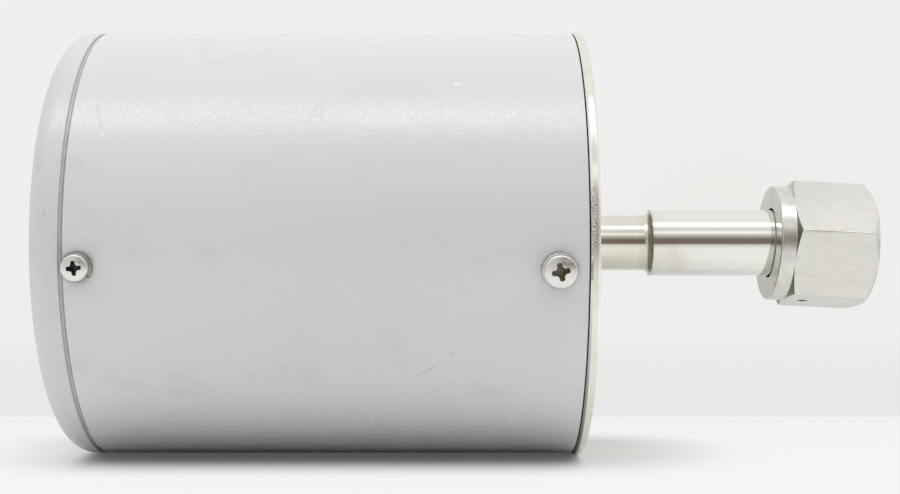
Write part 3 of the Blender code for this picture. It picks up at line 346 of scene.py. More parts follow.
def add_piece(name: str, mesh: Mesh, materials: Sequence[Material],
              nodes: Sequence[str] = (), body: str = HOUSING, sharp: float = 30.0) -> bpy.types.Object:
    """Put a mesh into the scene as a piece that rides on a body.

    Args:
        name: The piece's name.
        mesh: Its mesh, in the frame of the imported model.
        materials: Its finishes, in the order of the faces' own numbers.
        nodes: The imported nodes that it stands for.
        body: The body that carries it.
        sharp: The angle in degrees from which an edge is shaded as a corner.

    Returns:
        The piece.
    """
    for material in materials:
        mesh.materials.append(material)
    mesh.shade_smooth()
    mesh.set_sharp_from_angle(angle=math.radians(sharp))
    piece = added(name, mesh)
    piece.modifiers.new("flat_faces", "WEIGHTED_NORMAL").keep_sharp = True
    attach(piece, body)
    if nodes:
        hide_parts(*nodes)
    log.info("%s: %d faces on %s", name, len(mesh.polygons), body)
    return piece


# Finishes


@dataclass(frozen=True)
class Patch:
    """A stain or worn patch round a point of a piece."""

    centre: tuple[float, float, float]
    reach: tuple[float, float, float]
    colour: Colour
    strength: float


class Nodes:
    """A node tree that is added to a step at a time."""

    def __init__(self, tree: bpy.types.NodeTree) -> None:
        """Start from a tree."""
        self.tree = tree

    def add(self, kind: str, feeds: dict[str | int, object], **settings: object) -> bpy.types.Node:
        """Add a node.

        Args:
            kind: The node's type.
            feeds: What each input gets, a socket or a constant.
            settings: The node's own settings.

        Returns:
            The node.
        """
        node = self.tree.nodes.new(kind)
        for key, value in settings.items():
            setattr(node, key, value)
        for key, value in feeds.items():
            self.feed(node.inputs[key], value)
        return node

    def feed(self, target: Socket, value: object) -> None:
        """Link a socket to an input, or set the input to a constant."""
        if isinstance(value, Socket):
            self.tree.links.new(value, target)
        else:
            target.default_value = value

    def split(self, vector: Socket) -> tuple[Socket, Socket, Socket]:
        """Give a vector's three parts."""
        outputs = self.add("ShaderNodeSeparateXYZ", {"Vector": vector}).outputs
        return outputs[0], outputs[1], outputs[2]

    def joined(self, x: object, y: object, z: object) -> Socket:
        """Make a vector of three parts."""
        return self.add("ShaderNodeCombineXYZ", {0: x, 1: y, 2: z}).outputs[0]

    def math(self, operation: str, *values: object, clamp: bool = False) -> Socket:
        """Work one thing out of one to three values."""
        node = self.add("ShaderNodeMath", dict(enumerate(values)), operation=operation, use_clamp=clamp)
        return node.outputs[0]

    def times(self, first: object, second: object) -> Socket:
        """Multiply two values."""
        return self.math("MULTIPLY", first, second)

    def minus(self, first: object, second: object) -> Socket:
        """Take the second value from the first."""
        return self.math("SUBTRACT", first, second)

    def away(self, value: Socket, middle: object) -> Socket:
        """Give how far a value lies from another."""
        return self.math("ABSOLUTE", self.minus(value, middle))

    def distance(self, first: Socket, second: Socket) -> Socket:
        """Give how far a step goes, from its lengths on two axes."""
        return self.math("SQRT", self.math("ADD", self.times(first, first), self.times(second, second)))

    def ramp(self, value: Socket, low: float, high: float, start: float = 0.0, stop: float = 1.0) -> Socket:
        """Carry a value smoothly from one range to another.

        Args:
            value: The value to carry.
            low: Where the change starts.
            high: Where it ends.
            start: The result at and before low.
            stop: The result at and after high.

        Returns:
            The new value.
        """
        if low > high:
            low, high, start, stop = high, low, stop, start
        feeds = {"Value": value, "From Min": low, "From Max": high, "To Min": start, "To Max": stop}
        return self.add("ShaderNodeMapRange", feeds, interpolation_type="SMOOTHSTEP").outputs["Result"]

    def mix(self, share: object, first: object, second: object, kind: str = "MIX") -> Socket:
        """Blend two colours by a share of the second."""
        feeds: dict[str | int, object] = {"Factor": share}
        for place, colour in zip(MIXED_COLOURS, (first, second)):
            feeds[place] = colour if isinstance(colour, Socket) else (*colour, 1.0)
        return self.add("ShaderNodeMix", feeds, data_type="RGBA", blend_type=kind).outputs[MIXED_RESULT]

    def banded(self, value: Socket, bands: Sequence[tuple[float, Colour]]) -> Socket:
        """Colour a value from 0 to 1 by bands that run into each other.

        Args:
            value: The value.
            bands: Where each colour is full, in order, and the colour.

        Returns:
            The colour.
        """
        node = self.add("ShaderNodeValToRGB", {0: value})
        elements = node.color_ramp.elements
        elements[0].position, elements[1].position = bands[0][0], bands[-1][0]
        elements[0].color, elements[1].color = (*bands[0][1], 1.0), (*bands[-1][1], 1.0)
        for position, colour in bands[1:-1]:
            elements.new(position).color = (*colour, 1.0)
        return node.outputs[0]


class Shade(Nodes):
    """One material's nodes, added a step at a time round its Principled shader."""

    def __init__(self, name: str) -> None:
        """Start a material with its Principled shader."""
        self.material = bpy.data.materials.new(name)
        self.material.use_nodes = True
        super().__init__(self.material.node_tree)
        self.shader = self.tree.nodes["Principled BSDF"]
        self._place: Socket | None = None

    def dress(self, **feeds: object) -> None:
        """Feed the Principled shader's inputs, named with underscores for spaces."""
        for key, value in feeds.items():
            self.feed(self.shader.inputs[key.replace("_", " ")], value)

    @property
    def place(self) -> Socket:
        """Give the point on the piece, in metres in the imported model's frame."""
        if self._place is None:
            self._place = self.add("ShaderNodeTexCoord", {}).outputs["Object"]
        return self._place

    @property
    def along(self) -> Socket:
        """Give the place along the housing's axis."""
        return self.split(self.place)[0]

    def stretched(self, x: float, y: float, z: float) -> Socket:
        """Scale the place on the piece by its own factor on each axis."""
        return self.add("ShaderNodeMapping", {"Vector": self.place, "Scale": (x, y, z)}).outputs[0]

    def noise(self, scale: float, detail: float = 2.0, rough: float = 0.5,
              vector: Socket | None = None) -> Socket:
        """Give a cloudy noise from 0 to 1.

        Args:
            scale: How many blotches a metre holds.
            detail: How many finer layers it has.
            rough: How strong the finer layers are.
            vector: Where it is read; the place on the piece by default.

        Returns:
            The noise's value.
        """
        feeds = {"Vector": vector or self.place, "Scale": scale, "Detail": detail, "Roughness": rough}
        return self.add("ShaderNodeTexNoise", feeds).outputs["Fac"]

    def clouds(self, scale: float, low: float, high: float, start: float = 0.0, stop: float = 1.0,
               detail: float = 2.0, rough: float = 0.5) -> Socket:
        """Carry a noise smoothly from one range to another; the arguments are those of noise and ramp."""
        return self.ramp(self.noise(scale, detail, rough), low, high, start, stop)

    def cells(self, scale: float) -> Socket:
        """Give the distance to the nearest of many scattered points."""
        return self.add("ShaderNodeTexVoronoi", {"Vector": self.place, "Scale": scale}).outputs["Distance"]

    def bump(self, height: Socket, distance: float, normal: Socket | None = None) -> Socket:
        """Tilt the surface by a height, in metres at full height."""
        feeds: dict[str | int, object] = {"Height": height, "Distance": distance, "Strength": 1.0}
        if normal is not None:
            feeds["Normal"] = normal
        return self.add("ShaderNodeBump", feeds).outputs[0]

    def within(self, patch: Patch) -> Socket:
        """Give how deep a point lies inside a patch, from 0 at its edge to its strength."""
        scale = tuple(1.0 / reach for reach in patch.reach)
        shift = tuple(-part * factor for part, factor in zip(patch.centre, scale))
        feeds = {"Vector": self.place, "Location": shift, "Scale": scale}
        offset = self.add("ShaderNodeMapping", feeds).outputs[0]
        length = self.add("ShaderNodeVectorMath", {0: offset}, operation="LENGTH").outputs["Value"]
        return self.ramp(length, 1.0, 0.3, 0.0, patch.strength)

    def axis_distance(self) -> Socket:
        """Give the distance from the housing's axis."""
        _, y, z = self.split(self.place)
        return self.distance(y, z)

    def unrolled(self, radius: float) -> tuple[Socket, Socket]:
        """Unroll the housing's side.

        Args:
            radius: The side's radius.

        Returns:
            The place along the axis, and the length round the side from the front towards the top.
        """
        x, y, z = self.split(self.place)
        return x, self.times(self.math("ARCTAN2", z, self.times(y, -1.0)), radius)

    def near_line(self, x: Socket, arc: Socket, start: Point, stop: Point) -> Socket:
        """Give the distance to a straight stretch on the unrolled side.

        Args:
            x: The place along the axis.
            arc: The length round the side.
            start: Where the stretch starts.
            stop: Where it ends.

        Returns:
            The distance in metres.
        """
        run = Vector(stop) - Vector(start)
        from_x = self.minus(x, start[0])
        from_arc = self.minus(arc, start[1])
        share = self.math("ADD", self.times(from_x, run.x / run.length_squared),
                          self.times(from_arc, run.y / run.length_squared), clamp=True)
        return self.distance(self.minus(from_x, self.times(share, run.x)),
                             self.minus(from_arc, self.times(share, run.y)))


@dataclass(frozen=True)
class Mark:
    """A scratch or rub on the painted side, placed by length along and round it."""

    start: Point
    stop: Point
    width: float
    colour: Colour
    strength: float
    depth: float = 0.0


@dataclass(frozen=True)
class Halo:
    """The ring of grime round a screw's washer, and a painted shade line at the washer's edge."""

    x: float
    arc: float
    radius: float


@dataclass(frozen=True)
class Band:
    """A stretch along the housing's axis that is tinted, or darkened by painted shade."""

    middle: float
    reach: float
    share: float
    colour: Colour = GRIME_AND_SHADE
    grain: float = 260.0


def varied(colour: Colour, share: float) -> tuple[Colour, Colour]:
    """Give a deeper and a paler tone of a colour."""
    deep = tuple(part * (1 - share) for part in colour)
    pale = tuple(min(1.0, part * (1 + share)) for part in colour)
    return deep, pale


@dataclass(frozen=True)
class PaintFinish:
    """Satin enamel sprayed on metal, with orange peel, rubs and grime, and pale flecks painted as glints
    along its upper side.
    """

    name: str
    colour: Colour
    radius: float
    roughness: float = 0.33
    marks: tuple[Mark, ...] = ()
    halos: tuple[Halo, ...] = ()
    # Painted shade in the groove between cap and can
    groove_shade: tuple[Band, ...] = ()
    peel_scale: float = 620.0
    peel_depth: float = 0.00003
    grain_scale: float = 2600.0
    grain_depth: float = 0.00001
    # Painted highlight: where round the side the pale glint flecks lie, how far they reach and their colour
    shoulder: float = 0.0284
    glint_reach: float = 0.0068
    glint_colour: Colour = (0.86, 0.87, 0.86)
    halo_width: float = 0.0013

    def material(self) -> Material:
        """Mix the paint's colour, gloss and relief."""
        shade = Shade(self.name)
        x, arc = shade.unrolled(self.radius)
        colour = shade.mix(shade.clouds(14.0, 0.3, 0.7, detail=3.0), *varied(self.colour, 0.012))
        colour = shade.mix(shade.clouds(90.0, 0.55, 0.8, 0.0, 0.12, 4.0, 0.6), colour, GRIME_AND_SHADE)
        specks = shade.ramp(shade.cells(330.0), 0.06, 0.03)
        colour = shade.mix(shade.times(specks, shade.clouds(60.0, 0.55, 0.68, 0.0, 0.35)), colour, GRIME_AND_SHADE)
        height = shade.noise(self.peel_scale, 1.0)
        for mark in self.marks:
            off = shade.near_line(x, arc, mark.start, mark.stop)
            share = shade.times(shade.ramp(off, mark.width, mark.width * 0.2, 0.0, mark.strength),
                                shade.clouds(1500.0, 0.3, 0.6, 0.35, 1.0))
            colour = shade.mix(share, colour, mark.colour)
            if mark.depth:
                height = shade.minus(height, shade.ramp(off, mark.width * 1.6, 0.0, 0.0,
                                                        mark.depth / self.peel_depth))
        # Painted highlight: pale flecks stand for glints of the soft box in the enamel
        glint_band = shade.ramp(shade.away(arc, self.shoulder), self.glint_reach, 0.0, 0.0, 0.2)
        glint_flecks = shade.ramp(shade.noise(2300.0, 2.0, 0.5, shade.stretched(0.6, 1.0, 1.0)), 0.52, 0.62)
        colour = shade.mix(shade.times(glint_flecks, glint_band), colour, self.glint_colour)
        colour = self._grimed_and_shaded(shade, colour, x, arc)
        gloss = shade.clouds(35.0, 0.3, 0.7, self.roughness - 0.04, self.roughness + 0.05, 3.0)
        fine = shade.bump(shade.noise(self.grain_scale), self.grain_depth)
        shade.dress(Base_Color=colour, Roughness=gloss, Specular_IOR_Level=1.0,
                    Normal=shade.bump(height, self.peel_depth, fine))
        return shade.material

    def _grimed_and_shaded(self, shade: Shade, colour: Socket, x: Socket, arc: Socket) -> Socket:
        """Darken the paint with grime round the screws, and with painted shade at the washers' edges and in
        the cap's groove.

        Args:
            shade: The material's nodes.
            colour: The colour so far.
            x: The place along the axis.
            arc: The length round the side.

        Returns:
            The new colour.
        """
        patchy = shade.clouds(330.0, 0.35, 0.7, 0.1, 1.0, 3.0, 0.6)
        for halo in self.halos:
            off = shade.near_line(x, arc, (halo.x, halo.arc), (halo.x + MERGE, halo.arc))
            ring = shade.ramp(off, halo.radius + self.halo_width, halo.radius - 0.0004, 0.0, 0.5)
            colour = shade.mix(shade.times(ring, patchy), colour, GRIME_AND_SHADE)
            # Painted shade: a dark line round the washer's edge where it stands on the paint
            washer_edge_shade = shade.ramp(off, halo.radius + 0.0003, halo.radius, 0.0, 0.6)
            colour = shade.mix(washer_edge_shade, colour, GRIME_AND_SHADE)
        # Painted shade: dark streaky lines in the groove between cap and can
        for edge in self.groove_shade:
            line = shade.ramp(shade.away(x, edge.middle), edge.reach, edge.reach * 0.4, 0.0, edge.share)
            streaky = shade.clouds(edge.grain, 0.3, 0.7, 0.65, 1.0, 3.0, 0.6)
            colour = shade.mix(shade.times(line, streaky), colour, edge.colour)
        return colour


@dataclass(frozen=True)
class SteelFinish:
    """Bare metal: polished, turned or dull, with rings, scratches and stains, and painted shade on faces seen
    only through a gap.
    """

    name: str
    colour: Colour
    roughness: float
    ring_scale: float = 0.0
    ring_depth: float = 0.0
    scratch_depth: float = 0.0000008
    stain: Colour = (0.42, 0.36, 0.27)
    stain_share: float = 0.12
    tints: tuple[Band, ...] = ()
    patches: tuple[Patch, ...] = ()
    pitted: tuple[Patch, ...] = ()
    pit_scale: float = 6000.0
    pit_depth: float = 0.00001
    pit_roughness: float = 0.5
    mottle: float = 0.0
    wave_depth: float = 0.000006
    # Up to this place on X the faces are painted near-black: painted shade in the gap between can and plate
    shaded_up_to: float | None = None
    gap_shade: Colour = (0.012, 0.011, 0.010)

    def material(self) -> Material:
        """Mix the metal's colour, gloss and relief."""
        shade = Shade(self.name)
        stained = shade.clouds(130.0, 0.48, 0.78, 0.0, self.stain_share, 4.0, 0.6)
        colour: Socket = shade.mix(stained, self.colour, self.stain)
        for tint in self.tints:
            off = shade.away(shade.along, tint.middle)
            band = shade.ramp(off, tint.reach, tint.reach * 0.25, 0.0, tint.share)
            patchy = shade.clouds(tint.grain, 0.3, 0.62, 0.3, 1.0)
            colour = shade.mix(shade.times(band, patchy), colour, tint.colour)
        scratches = shade.noise(1.0, 3.0, 0.6, shade.stretched(700.0, 5200.0, 5200.0))
        normal = shade.bump(scratches, self.scratch_depth)
        if self.mottle:
            mottled = shade.clouds(480.0, 0.35, 0.65, 0.0, self.mottle, 2.0, 0.6)
            colour = shade.mix(mottled, colour, varied(self.colour, 0.3)[0])
            normal = shade.bump(shade.noise(650.0), self.wave_depth, normal)
        if self.ring_scale:
            rings = shade.joined(shade.along, shade.axis_distance(), 0.0)
            normal = shade.bump(shade.noise(self.ring_scale, 2.0, 0.7, rings), self.ring_depth, normal)
        roughness = shade.clouds(55.0, 0.3, 0.7, self.roughness * 0.85, self.roughness * 1.2, 3.0)
        for patch in self.patches:
            cloud = shade.clouds(300.0, 0.25, 0.65, 0.4, 1.0, 3.0, 0.6)
            colour = shade.mix(shade.times(shade.within(patch), cloud), colour, patch.colour)
        for patch in self.pitted:
            inside = shade.within(patch)
            worn = shade.times(shade.clouds(self.pit_scale, 0.46, 0.6, detail=1.0), inside)
            colour = shade.mix(worn, colour, patch.colour)
            roughness = shade.math("MAXIMUM", roughness, shade.times(inside, self.pit_roughness))
            normal = shade.bump(shade.minus(1.0, worn), self.pit_depth, normal)
        shade.dress(Base_Color=colour, Roughness=roughness, Metallic=1.0, Normal=normal)
        # Painted shade: faces up to a place on X become a near-black non-metal, so the gap reads dark
        if self.shaded_up_to is not None:
            inside = shade.math("LESS_THAN", shade.along, self.shaded_up_to)
            shade.dress(Base_Color=shade.mix(inside, colour, self.gap_shade), Metallic=shade.minus(1.0, inside),
                        Roughness=shade.math("MAXIMUM", roughness, inside))
        return shade.material


@dataclass(frozen=True)
class PlainFinish:
    """Moulded, cast, woven or foamed stuff whose colour and grain vary a little."""

    name: str
    colour: Colour
    roughness: float
    metallic: float = 0.0
    grain_scale: float = 900.0
    grain_depth: float = 0.00002
    variation: float = 0.12

    def material(self) -> Material:
        """Mix the stuff's colour, gloss and grain."""
        shade = Shade(self.name)
        colour = shade.mix(shade.clouds(110.0, 0.3, 0.7, detail=4.0), *varied(self.colour, self.variation))
        roughness = shade.clouds(240.0, 0.3, 0.7, self.roughness * 0.88, self.roughness * 1.1)
        normal = shade.bump(shade.noise(self.grain_scale, 3.0), self.grain_depth)
        shade.dress(Base_Color=colour, Roughness=roughness, Metallic=self.metallic, Normal=normal)
        return shade.material


# The housing


def housing_radius() -> float:
    """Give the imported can's radius."""
    low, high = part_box("cover_can")
    return (high[1] - low[1]) / 2


@dataclass
class Housing:
    """The painted can, its rounded cap and the turned base plate."""

    radius: float = field(init=False)
    front: float = field(init=False)
    back: float = field(init=False)
    cap_face: float = field(init=False)
    plate_outer: float = field(init=False)
    skirt_front: float = field(init=False)
    spigot_end: float = field(init=False)
    wall: float = 0.0012
    edge_round: float = 0.0003
    can_edge: float = 0.0002
    skirt_edge: float = 0.0002
    clearance: float = 0.0003
    groove: float = 0.0009
    shoulder: float = 0.0006
    shoulder_round: float = 0.0001
    shoulder_edge: float = 0.00005
    shoulder_gap: float = 0.0001
    cap_corner: float = 0.005
    cap_wall: float = 0.003
    spigot_wall: float = 0.004
    plate_thickness: float = 0.00207
    plate_gap: float = 0.00025
    plate_overhang: float = 0.0004
    plate_chamfer: float = 0.0005
    plate_edge: float = 0.00015
    plate_hole: float = 0.0068
    hole_edge: float = 0.0002

    def __post_init__(self) -> None:
        """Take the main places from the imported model."""
        self.radius = housing_radius()
        self.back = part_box("cover_can")[0][0]
        self.cap_face, self.skirt_front = (corner[0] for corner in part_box("end_cap"))
        self.spigot_end, self.plate_outer = (corner[0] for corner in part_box("base_plate"))
        self.front = self.plate_outer - self.plate_thickness - self.plate_gap

    @property
    def spigot(self) -> float:
        """Give the radius of what fits inside the can."""
        return self.radius - self.wall - self.clearance

    def build(self, cap_ring: "ScrewRing", base_ring: "ScrewRing", inlet: "SignalInlet") -> None:
        """Make and dress the can, the cap and the plate.

        Args:
            cap_ring: The screws at the cap, which say where its holes are.
            base_ring: The screws at the plate.
            inlet: The signal inlet, which says what is cut in the cap's face.
        """
        self.add_can(cap_ring, base_ring)
        self.add_cap(cap_ring, inlet)
        self.add_plate(base_ring)

    def add_can(self, cap_ring: "ScrewRing", base_ring: "ScrewRing") -> None:
        """Make the can with its six screw holes."""
        edge = self.can_edge
        bore = self.radius - self.wall
        mesh = turned("can_shell", [
            Corner(self.front, bore, edge / 2), Corner(self.front, self.radius, edge),
            Corner(self.back, self.radius, edge), Corner(self.back, bore, edge / 2)], CAN_STEPS)
        drills = [*cap_ring.drills(self.wall), *base_ring.drills(self.wall)]
        mesh = boolean(mesh, drills, Kind.CUT)
        paint = PaintFinish("can_enamel", (0.502, 0.519, 0.513), self.radius, marks=CAN_MARKS,
                            halos=(*cap_ring.halos(), *base_ring.halos()))
        add_piece("can_shell", mesh, [paint.material()], ["cover_can"])

    def add_cap(self, ring: "ScrewRing", inlet: "SignalInlet") -> None:
        """Make the cap with its skirt, screw holes and the inlet's window."""
        rim = self.back - self.groove
        skirt_bore = self.spigot - self.cap_wall
        inner_face = self.cap_face + self.cap_wall
        step, ledge = self.radius - self.shoulder, self.back - self.shoulder_gap
        profile = softened([
            Corner(self.cap_face, 0.0), Corner(self.cap_face, self.radius, self.cap_corner),
            Corner(rim, self.radius, self.edge_round), Corner(rim, step, self.shoulder_round),
            Corner(ledge, step, self.shoulder_edge), Corner(ledge, self.spigot),
            Corner(self.skirt_front, self.spigot, self.skirt_edge), Corner(self.skirt_front, skirt_bore),
            Corner(inner_face, skirt_bore, self.cap_wall), Corner(inner_face, 0.0)], closed=False)
        profile = refined_corner(profile, self.cap_corner)
        mesh = revolved("cap_shell", profile, CAN_STEPS, closed=False)
        openings = [*inlet.windows(self.cap_face, inner_face), *ring.drills(self.cap_wall)]
        mesh = boolean(mesh, openings, Kind.CUT)
        # The cap's enamel is darker than the can's: painted shade where the light falls off towards the cap's
        # end
        paint = PaintFinish(
            "cap_enamel_shaded", (0.476, 0.491, 0.486), self.radius, roughness=0.35, marks=CAP_MARKS, groove_shade=(
                Band(rim + 0.00015, 0.00024, 0.2), Band((rim + self.back) / 2, 0.0008, 0.03),
                Band(ledge - 0.00016, 0.0003, 0.8)))
        add_piece("cap_shell", mesh, [paint.material()], ["end_cap"])

    def add_plate(self, ring: "ScrewRing") -> None:
        """Make the turned base plate with its spigot and tapped holes."""
        inner = self.plate_outer - self.plate_thickness
        outer_radius = self.radius + self.plate_overhang
        spigot_bore = self.spigot - self.spigot_wall
        chamfer, edge = self.plate_chamfer, self.plate_edge
        blank = turned("plate_blank", [
            Corner(self.plate_outer, self.plate_hole, self.hole_edge),
            Corner(self.plate_outer, outer_radius - chamfer, edge),
            Corner(self.plate_outer - chamfer, outer_radius, edge),
            Corner(inner + chamfer, outer_radius, edge), Corner(inner, outer_radius - chamfer, edge),
            Corner(inner, self.spigot), Corner(self.spigot_end, self.spigot, self.edge_round),
            Corner(self.spigot_end, spigot_bore), Corner(inner, spigot_bore),
            Corner(inner, self.plate_hole, self.hole_edge)], CAN_STEPS)
        mesh = boolean(blank, ring.drills(self.spigot_wall), Kind.CUT)
        # The plate's faces inside the can are painted near-black: painted shade in the gap under the can's
        # edge
        steel = SteelFinish(
            "turned_base_steel", (0.88, 0.86, 0.79), 0.16, ring_scale=5200.0, ring_depth=0.000003,
            stain_share=0.3, shaded_up_to=inner + EDGE_MERGE, pit_scale=4600.0, pitted=(
                Patch((inner, -outer_radius, 0.003), (0.005, 0.014, 0.0135), (0.75, 0.72, 0.66), 0.6),
                Patch((inner, -outer_radius, 0.0045), (0.0026, 0.012, 0.0105), (0.12, 0.10, 0.09), 0.9)))
        blasted = SteelFinish("blasted_base_steel", (0.33, 0.325, 0.28), 0.42, ring_scale=2500.0,
                              ring_depth=0.000004, stain_share=0.1)
        for face in mesh.polygons:
            face.material_index = int(face.normal.x > FLAT)
        finishes = [steel.material(), blasted.material()]
        add_piece("plate_turned", mesh, finishes, ["base_plate"])


def refined_corner(points: Sequence[Point], radius: float) -> list[Point]:
    """Halve the chords of a profile's rounded right-angled corners of one radius.

    Args:
        points: The profile's points.
        radius: The radius of the corners that are made finer.

    Returns:
        The finer profile.
    """
    fine: list[Point] = [points[0]]
    half = math.pi / 4 / FILLET_FACETS
    chord = 2 * radius * math.sin(half)
    lift = radius * (1 - math.cos(half))
    for before, here in zip(points, points[1:]):
        span = Vector(here) - Vector(before)
        if abs(span.length - chord) < radius * CHORD_SLACK:
            outward = Vector((-span.y, span.x)).normalized()
            middle = (Vector(before) + Vector(here)) / 2
            fine.append(tuple(middle + outward * lift))
        fine.append(here)
    return fine


@dataclass
class ScrewRing:
    """Three radial pan-head screws and split washers at one end of the housing."""

    housing_radius: float = field(init=False)
    end: End
    x: float
    start: float
    clocking: float
    shank: float
    head: float
    height: float
    washer_radius: float
    washer_slack: float = 0.0
    count: int = 3
    seat: float = 0.0002
    lift: float = 0.0003
    head_edge: float = 0.0003
    washer_bore_edge: float = 0.00006
    washer_edge: float = 0.00012
    washer_thickness: float = 0.0006
    washer_split: float = 0.0003
    washer_lift: float = 0.00012
    hole_room: float = 0.0003
    thread_depth: float = 0.0039
    recess_span: float = 0.57
    recess_width: float = 0.33
    recess_depth: float = 0.66
    washer_clocking: float = math.radians(-35.0)

    def __post_init__(self) -> None:
        """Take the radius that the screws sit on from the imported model."""
        self.housing_radius = housing_radius()

    @property
    def angles(self) -> list[float]:
        """Give the angle of each screw from the side that faces -Y."""
        return [self.start + 2 * math.pi * index / self.count for index in range(self.count)]

    def halos(self) -> list[Halo]:
        """Give the grime and painted shade round the washers; lengths round the side stay within half a turn.
        """
        turned_back = [(angle + math.pi) % (2 * math.pi) - math.pi for angle in self.angles]
        return [Halo(self.x, angle * self.housing_radius, self.washer_radius) for angle in turned_back]

    def drills(self, depth: float) -> list[Mesh]:
        """Make the drills for the ring's holes.

        Args:
            depth: How thick the wall is that they go through.

        Returns:
            One drill for each screw.
        """
        low = self.housing_radius - 2 * self.washer_radius - depth
        drills = []
        for angle in self.angles:
            outline = circle(self.shank + self.hole_room, HOLE_STEPS)
            drill = upright(extruded("drill", outline, low, self.housing_radius + depth))
            drills.append(placed(drill, on_side(self.x, angle, 0.0, DRILL_CLOCKING)))
        return drills

    def head_mesh(self, name: str) -> Mesh:
        """Make the pan-head screw with its cross recess, seat at Z = 0."""
        grip = self.washer_thickness + self.thread_depth
        body = upright(turned(name, [
            Corner(-grip, 0.0), Corner(-grip, self.shank * 0.7), Corner(-grip + self.shank * 0.3, self.shank),
            Corner(0.0, self.shank), Corner(0.0, self.head, self.head_edge),
            Corner(self.height * 0.84, self.head * 0.985, self.head * 0.11),
            Corner(self.height, self.head * 0.42, self.head * 1.2), Corner(self.height, 0.0)],
            SCREW_STEPS, closed=False))
        head = boolean(body, [self.recess_mesh()], Kind.CUT)
        for face in head.polygons:
            inward = math.hypot(face.center.x, face.center.y) < self.head * (self.recess_span + 0.03)
            face.material_index = int(inward and 0.0 < face.center.z < self.height * 0.93)
        return head

    def recess_mesh(self) -> Mesh:
        """Make the tapered cross that the driver's tip leaves in the head."""
        span = self.head * self.recess_span
        half = self.head * self.recess_width / 2
        floor = self.height * (1.0 - self.recess_depth)
        levels = ((floor, 0.5, 0.6), (self.height * 0.7, 0.9, 0.9), (self.height * 1.05, 1.0, 1.0))
        shape = bmesh.new()
        rings = []
        for level, reach, width in levels:
            outline = self.cross_outline(span * reach, half * width)
            rings.append([shape.verts.new((y, z, level)) for y, z in outline])
        shape.faces.new(rings[0])
        shape.faces.new(rings[-1])
        skin(shape, rings)
        return to_mesh("recess", shape)

    @staticmethod
    def cross_outline(span: float, half: float) -> list[Point]:
        """Give a cross whose arms have rounded tips and whose inner corners are filled.

        Args:
            span: How far an arm reaches.
            half: Half an arm's width.

        Returns:
            The outline's points, anticlockwise.
        """
        tip, fill, root = span - half * 0.4, half * 1.95, half * 1.36
        arm = [(fill, -half), (tip, -half), (span, -half * 0.55), (span, half * 0.55), (tip, half),
               (fill, half), (root, root)]
        points: list[Point] = []
        for quarter in range(4):
            turn = math.pi / 2 * quarter
            points.extend((y * math.cos(turn) - z * math.sin(turn), y * math.sin(turn) + z * math.cos(turn))
                          for y, z in arm)
        return points

    def washer_mesh(self, name: str) -> Mesh:
        """Make the split lock washer, its ends sprung apart, lying on Z = 0."""
        bore = self.shank + self.hole_room
        thick = self.washer_thickness
        edge, bore_edge = self.washer_edge, self.washer_bore_edge
        profile = softened([
            Corner(0.0, bore, bore_edge), Corner(0.0, self.washer_radius, edge),
            Corner(thick, self.washer_radius, edge), Corner(thick, bore, bore_edge)], closed=True)
        opening = self.washer_split / self.washer_radius
        shape = bmesh.new()
        rings = []
        for step in range(SCREW_STEPS + 1):
            share = step / SCREW_STEPS
            angle = opening / 2 + (2 * math.pi - opening) * share
            lift = self.washer_lift * (share - 0.5)
            rings.append([shape.verts.new((radius * math.cos(angle), radius * math.sin(angle), x + lift))
                          for x, radius in profile])
        skin(shape, rings)
        shape.faces.new(rings[0])
        shape.faces.new(rings[-1])
        return to_mesh(name, shape)

    def build(self, screw: Sequence[Material], washer: Sequence[Material]) -> None:
        """Place the ring's screws and washers.

        Args:
            screw: The finishes of the screws and of their recesses.
            washer: The washers' finish.
        """
        kind = self.end.value
        screw_mesh = self.head_mesh(kind + "_pan_screw")
        washer_mesh = self.washer_mesh(kind + "_lock_washer")
        foot = self.housing_radius + self.seat
        for number, angle in enumerate(self.angles, 1):
            here = on_side(self.x, angle, foot + self.washer_thickness + self.lift, self.clocking)
            add_piece(f"{kind}_pan_screw_{number}", placed(screw_mesh.copy(), here), screw,
                      [f"{kind}_screw_{number}"])
            slack = Matrix.Translation((0, 0, -self.washer_slack))
            here = slack @ on_side(self.x, angle, foot, self.washer_clocking)
            add_piece(f"{kind}_lock_washer_{number}", placed(washer_mesh.copy(), here), washer,
                      [f"{kind}_washer_{number}"])


# The port


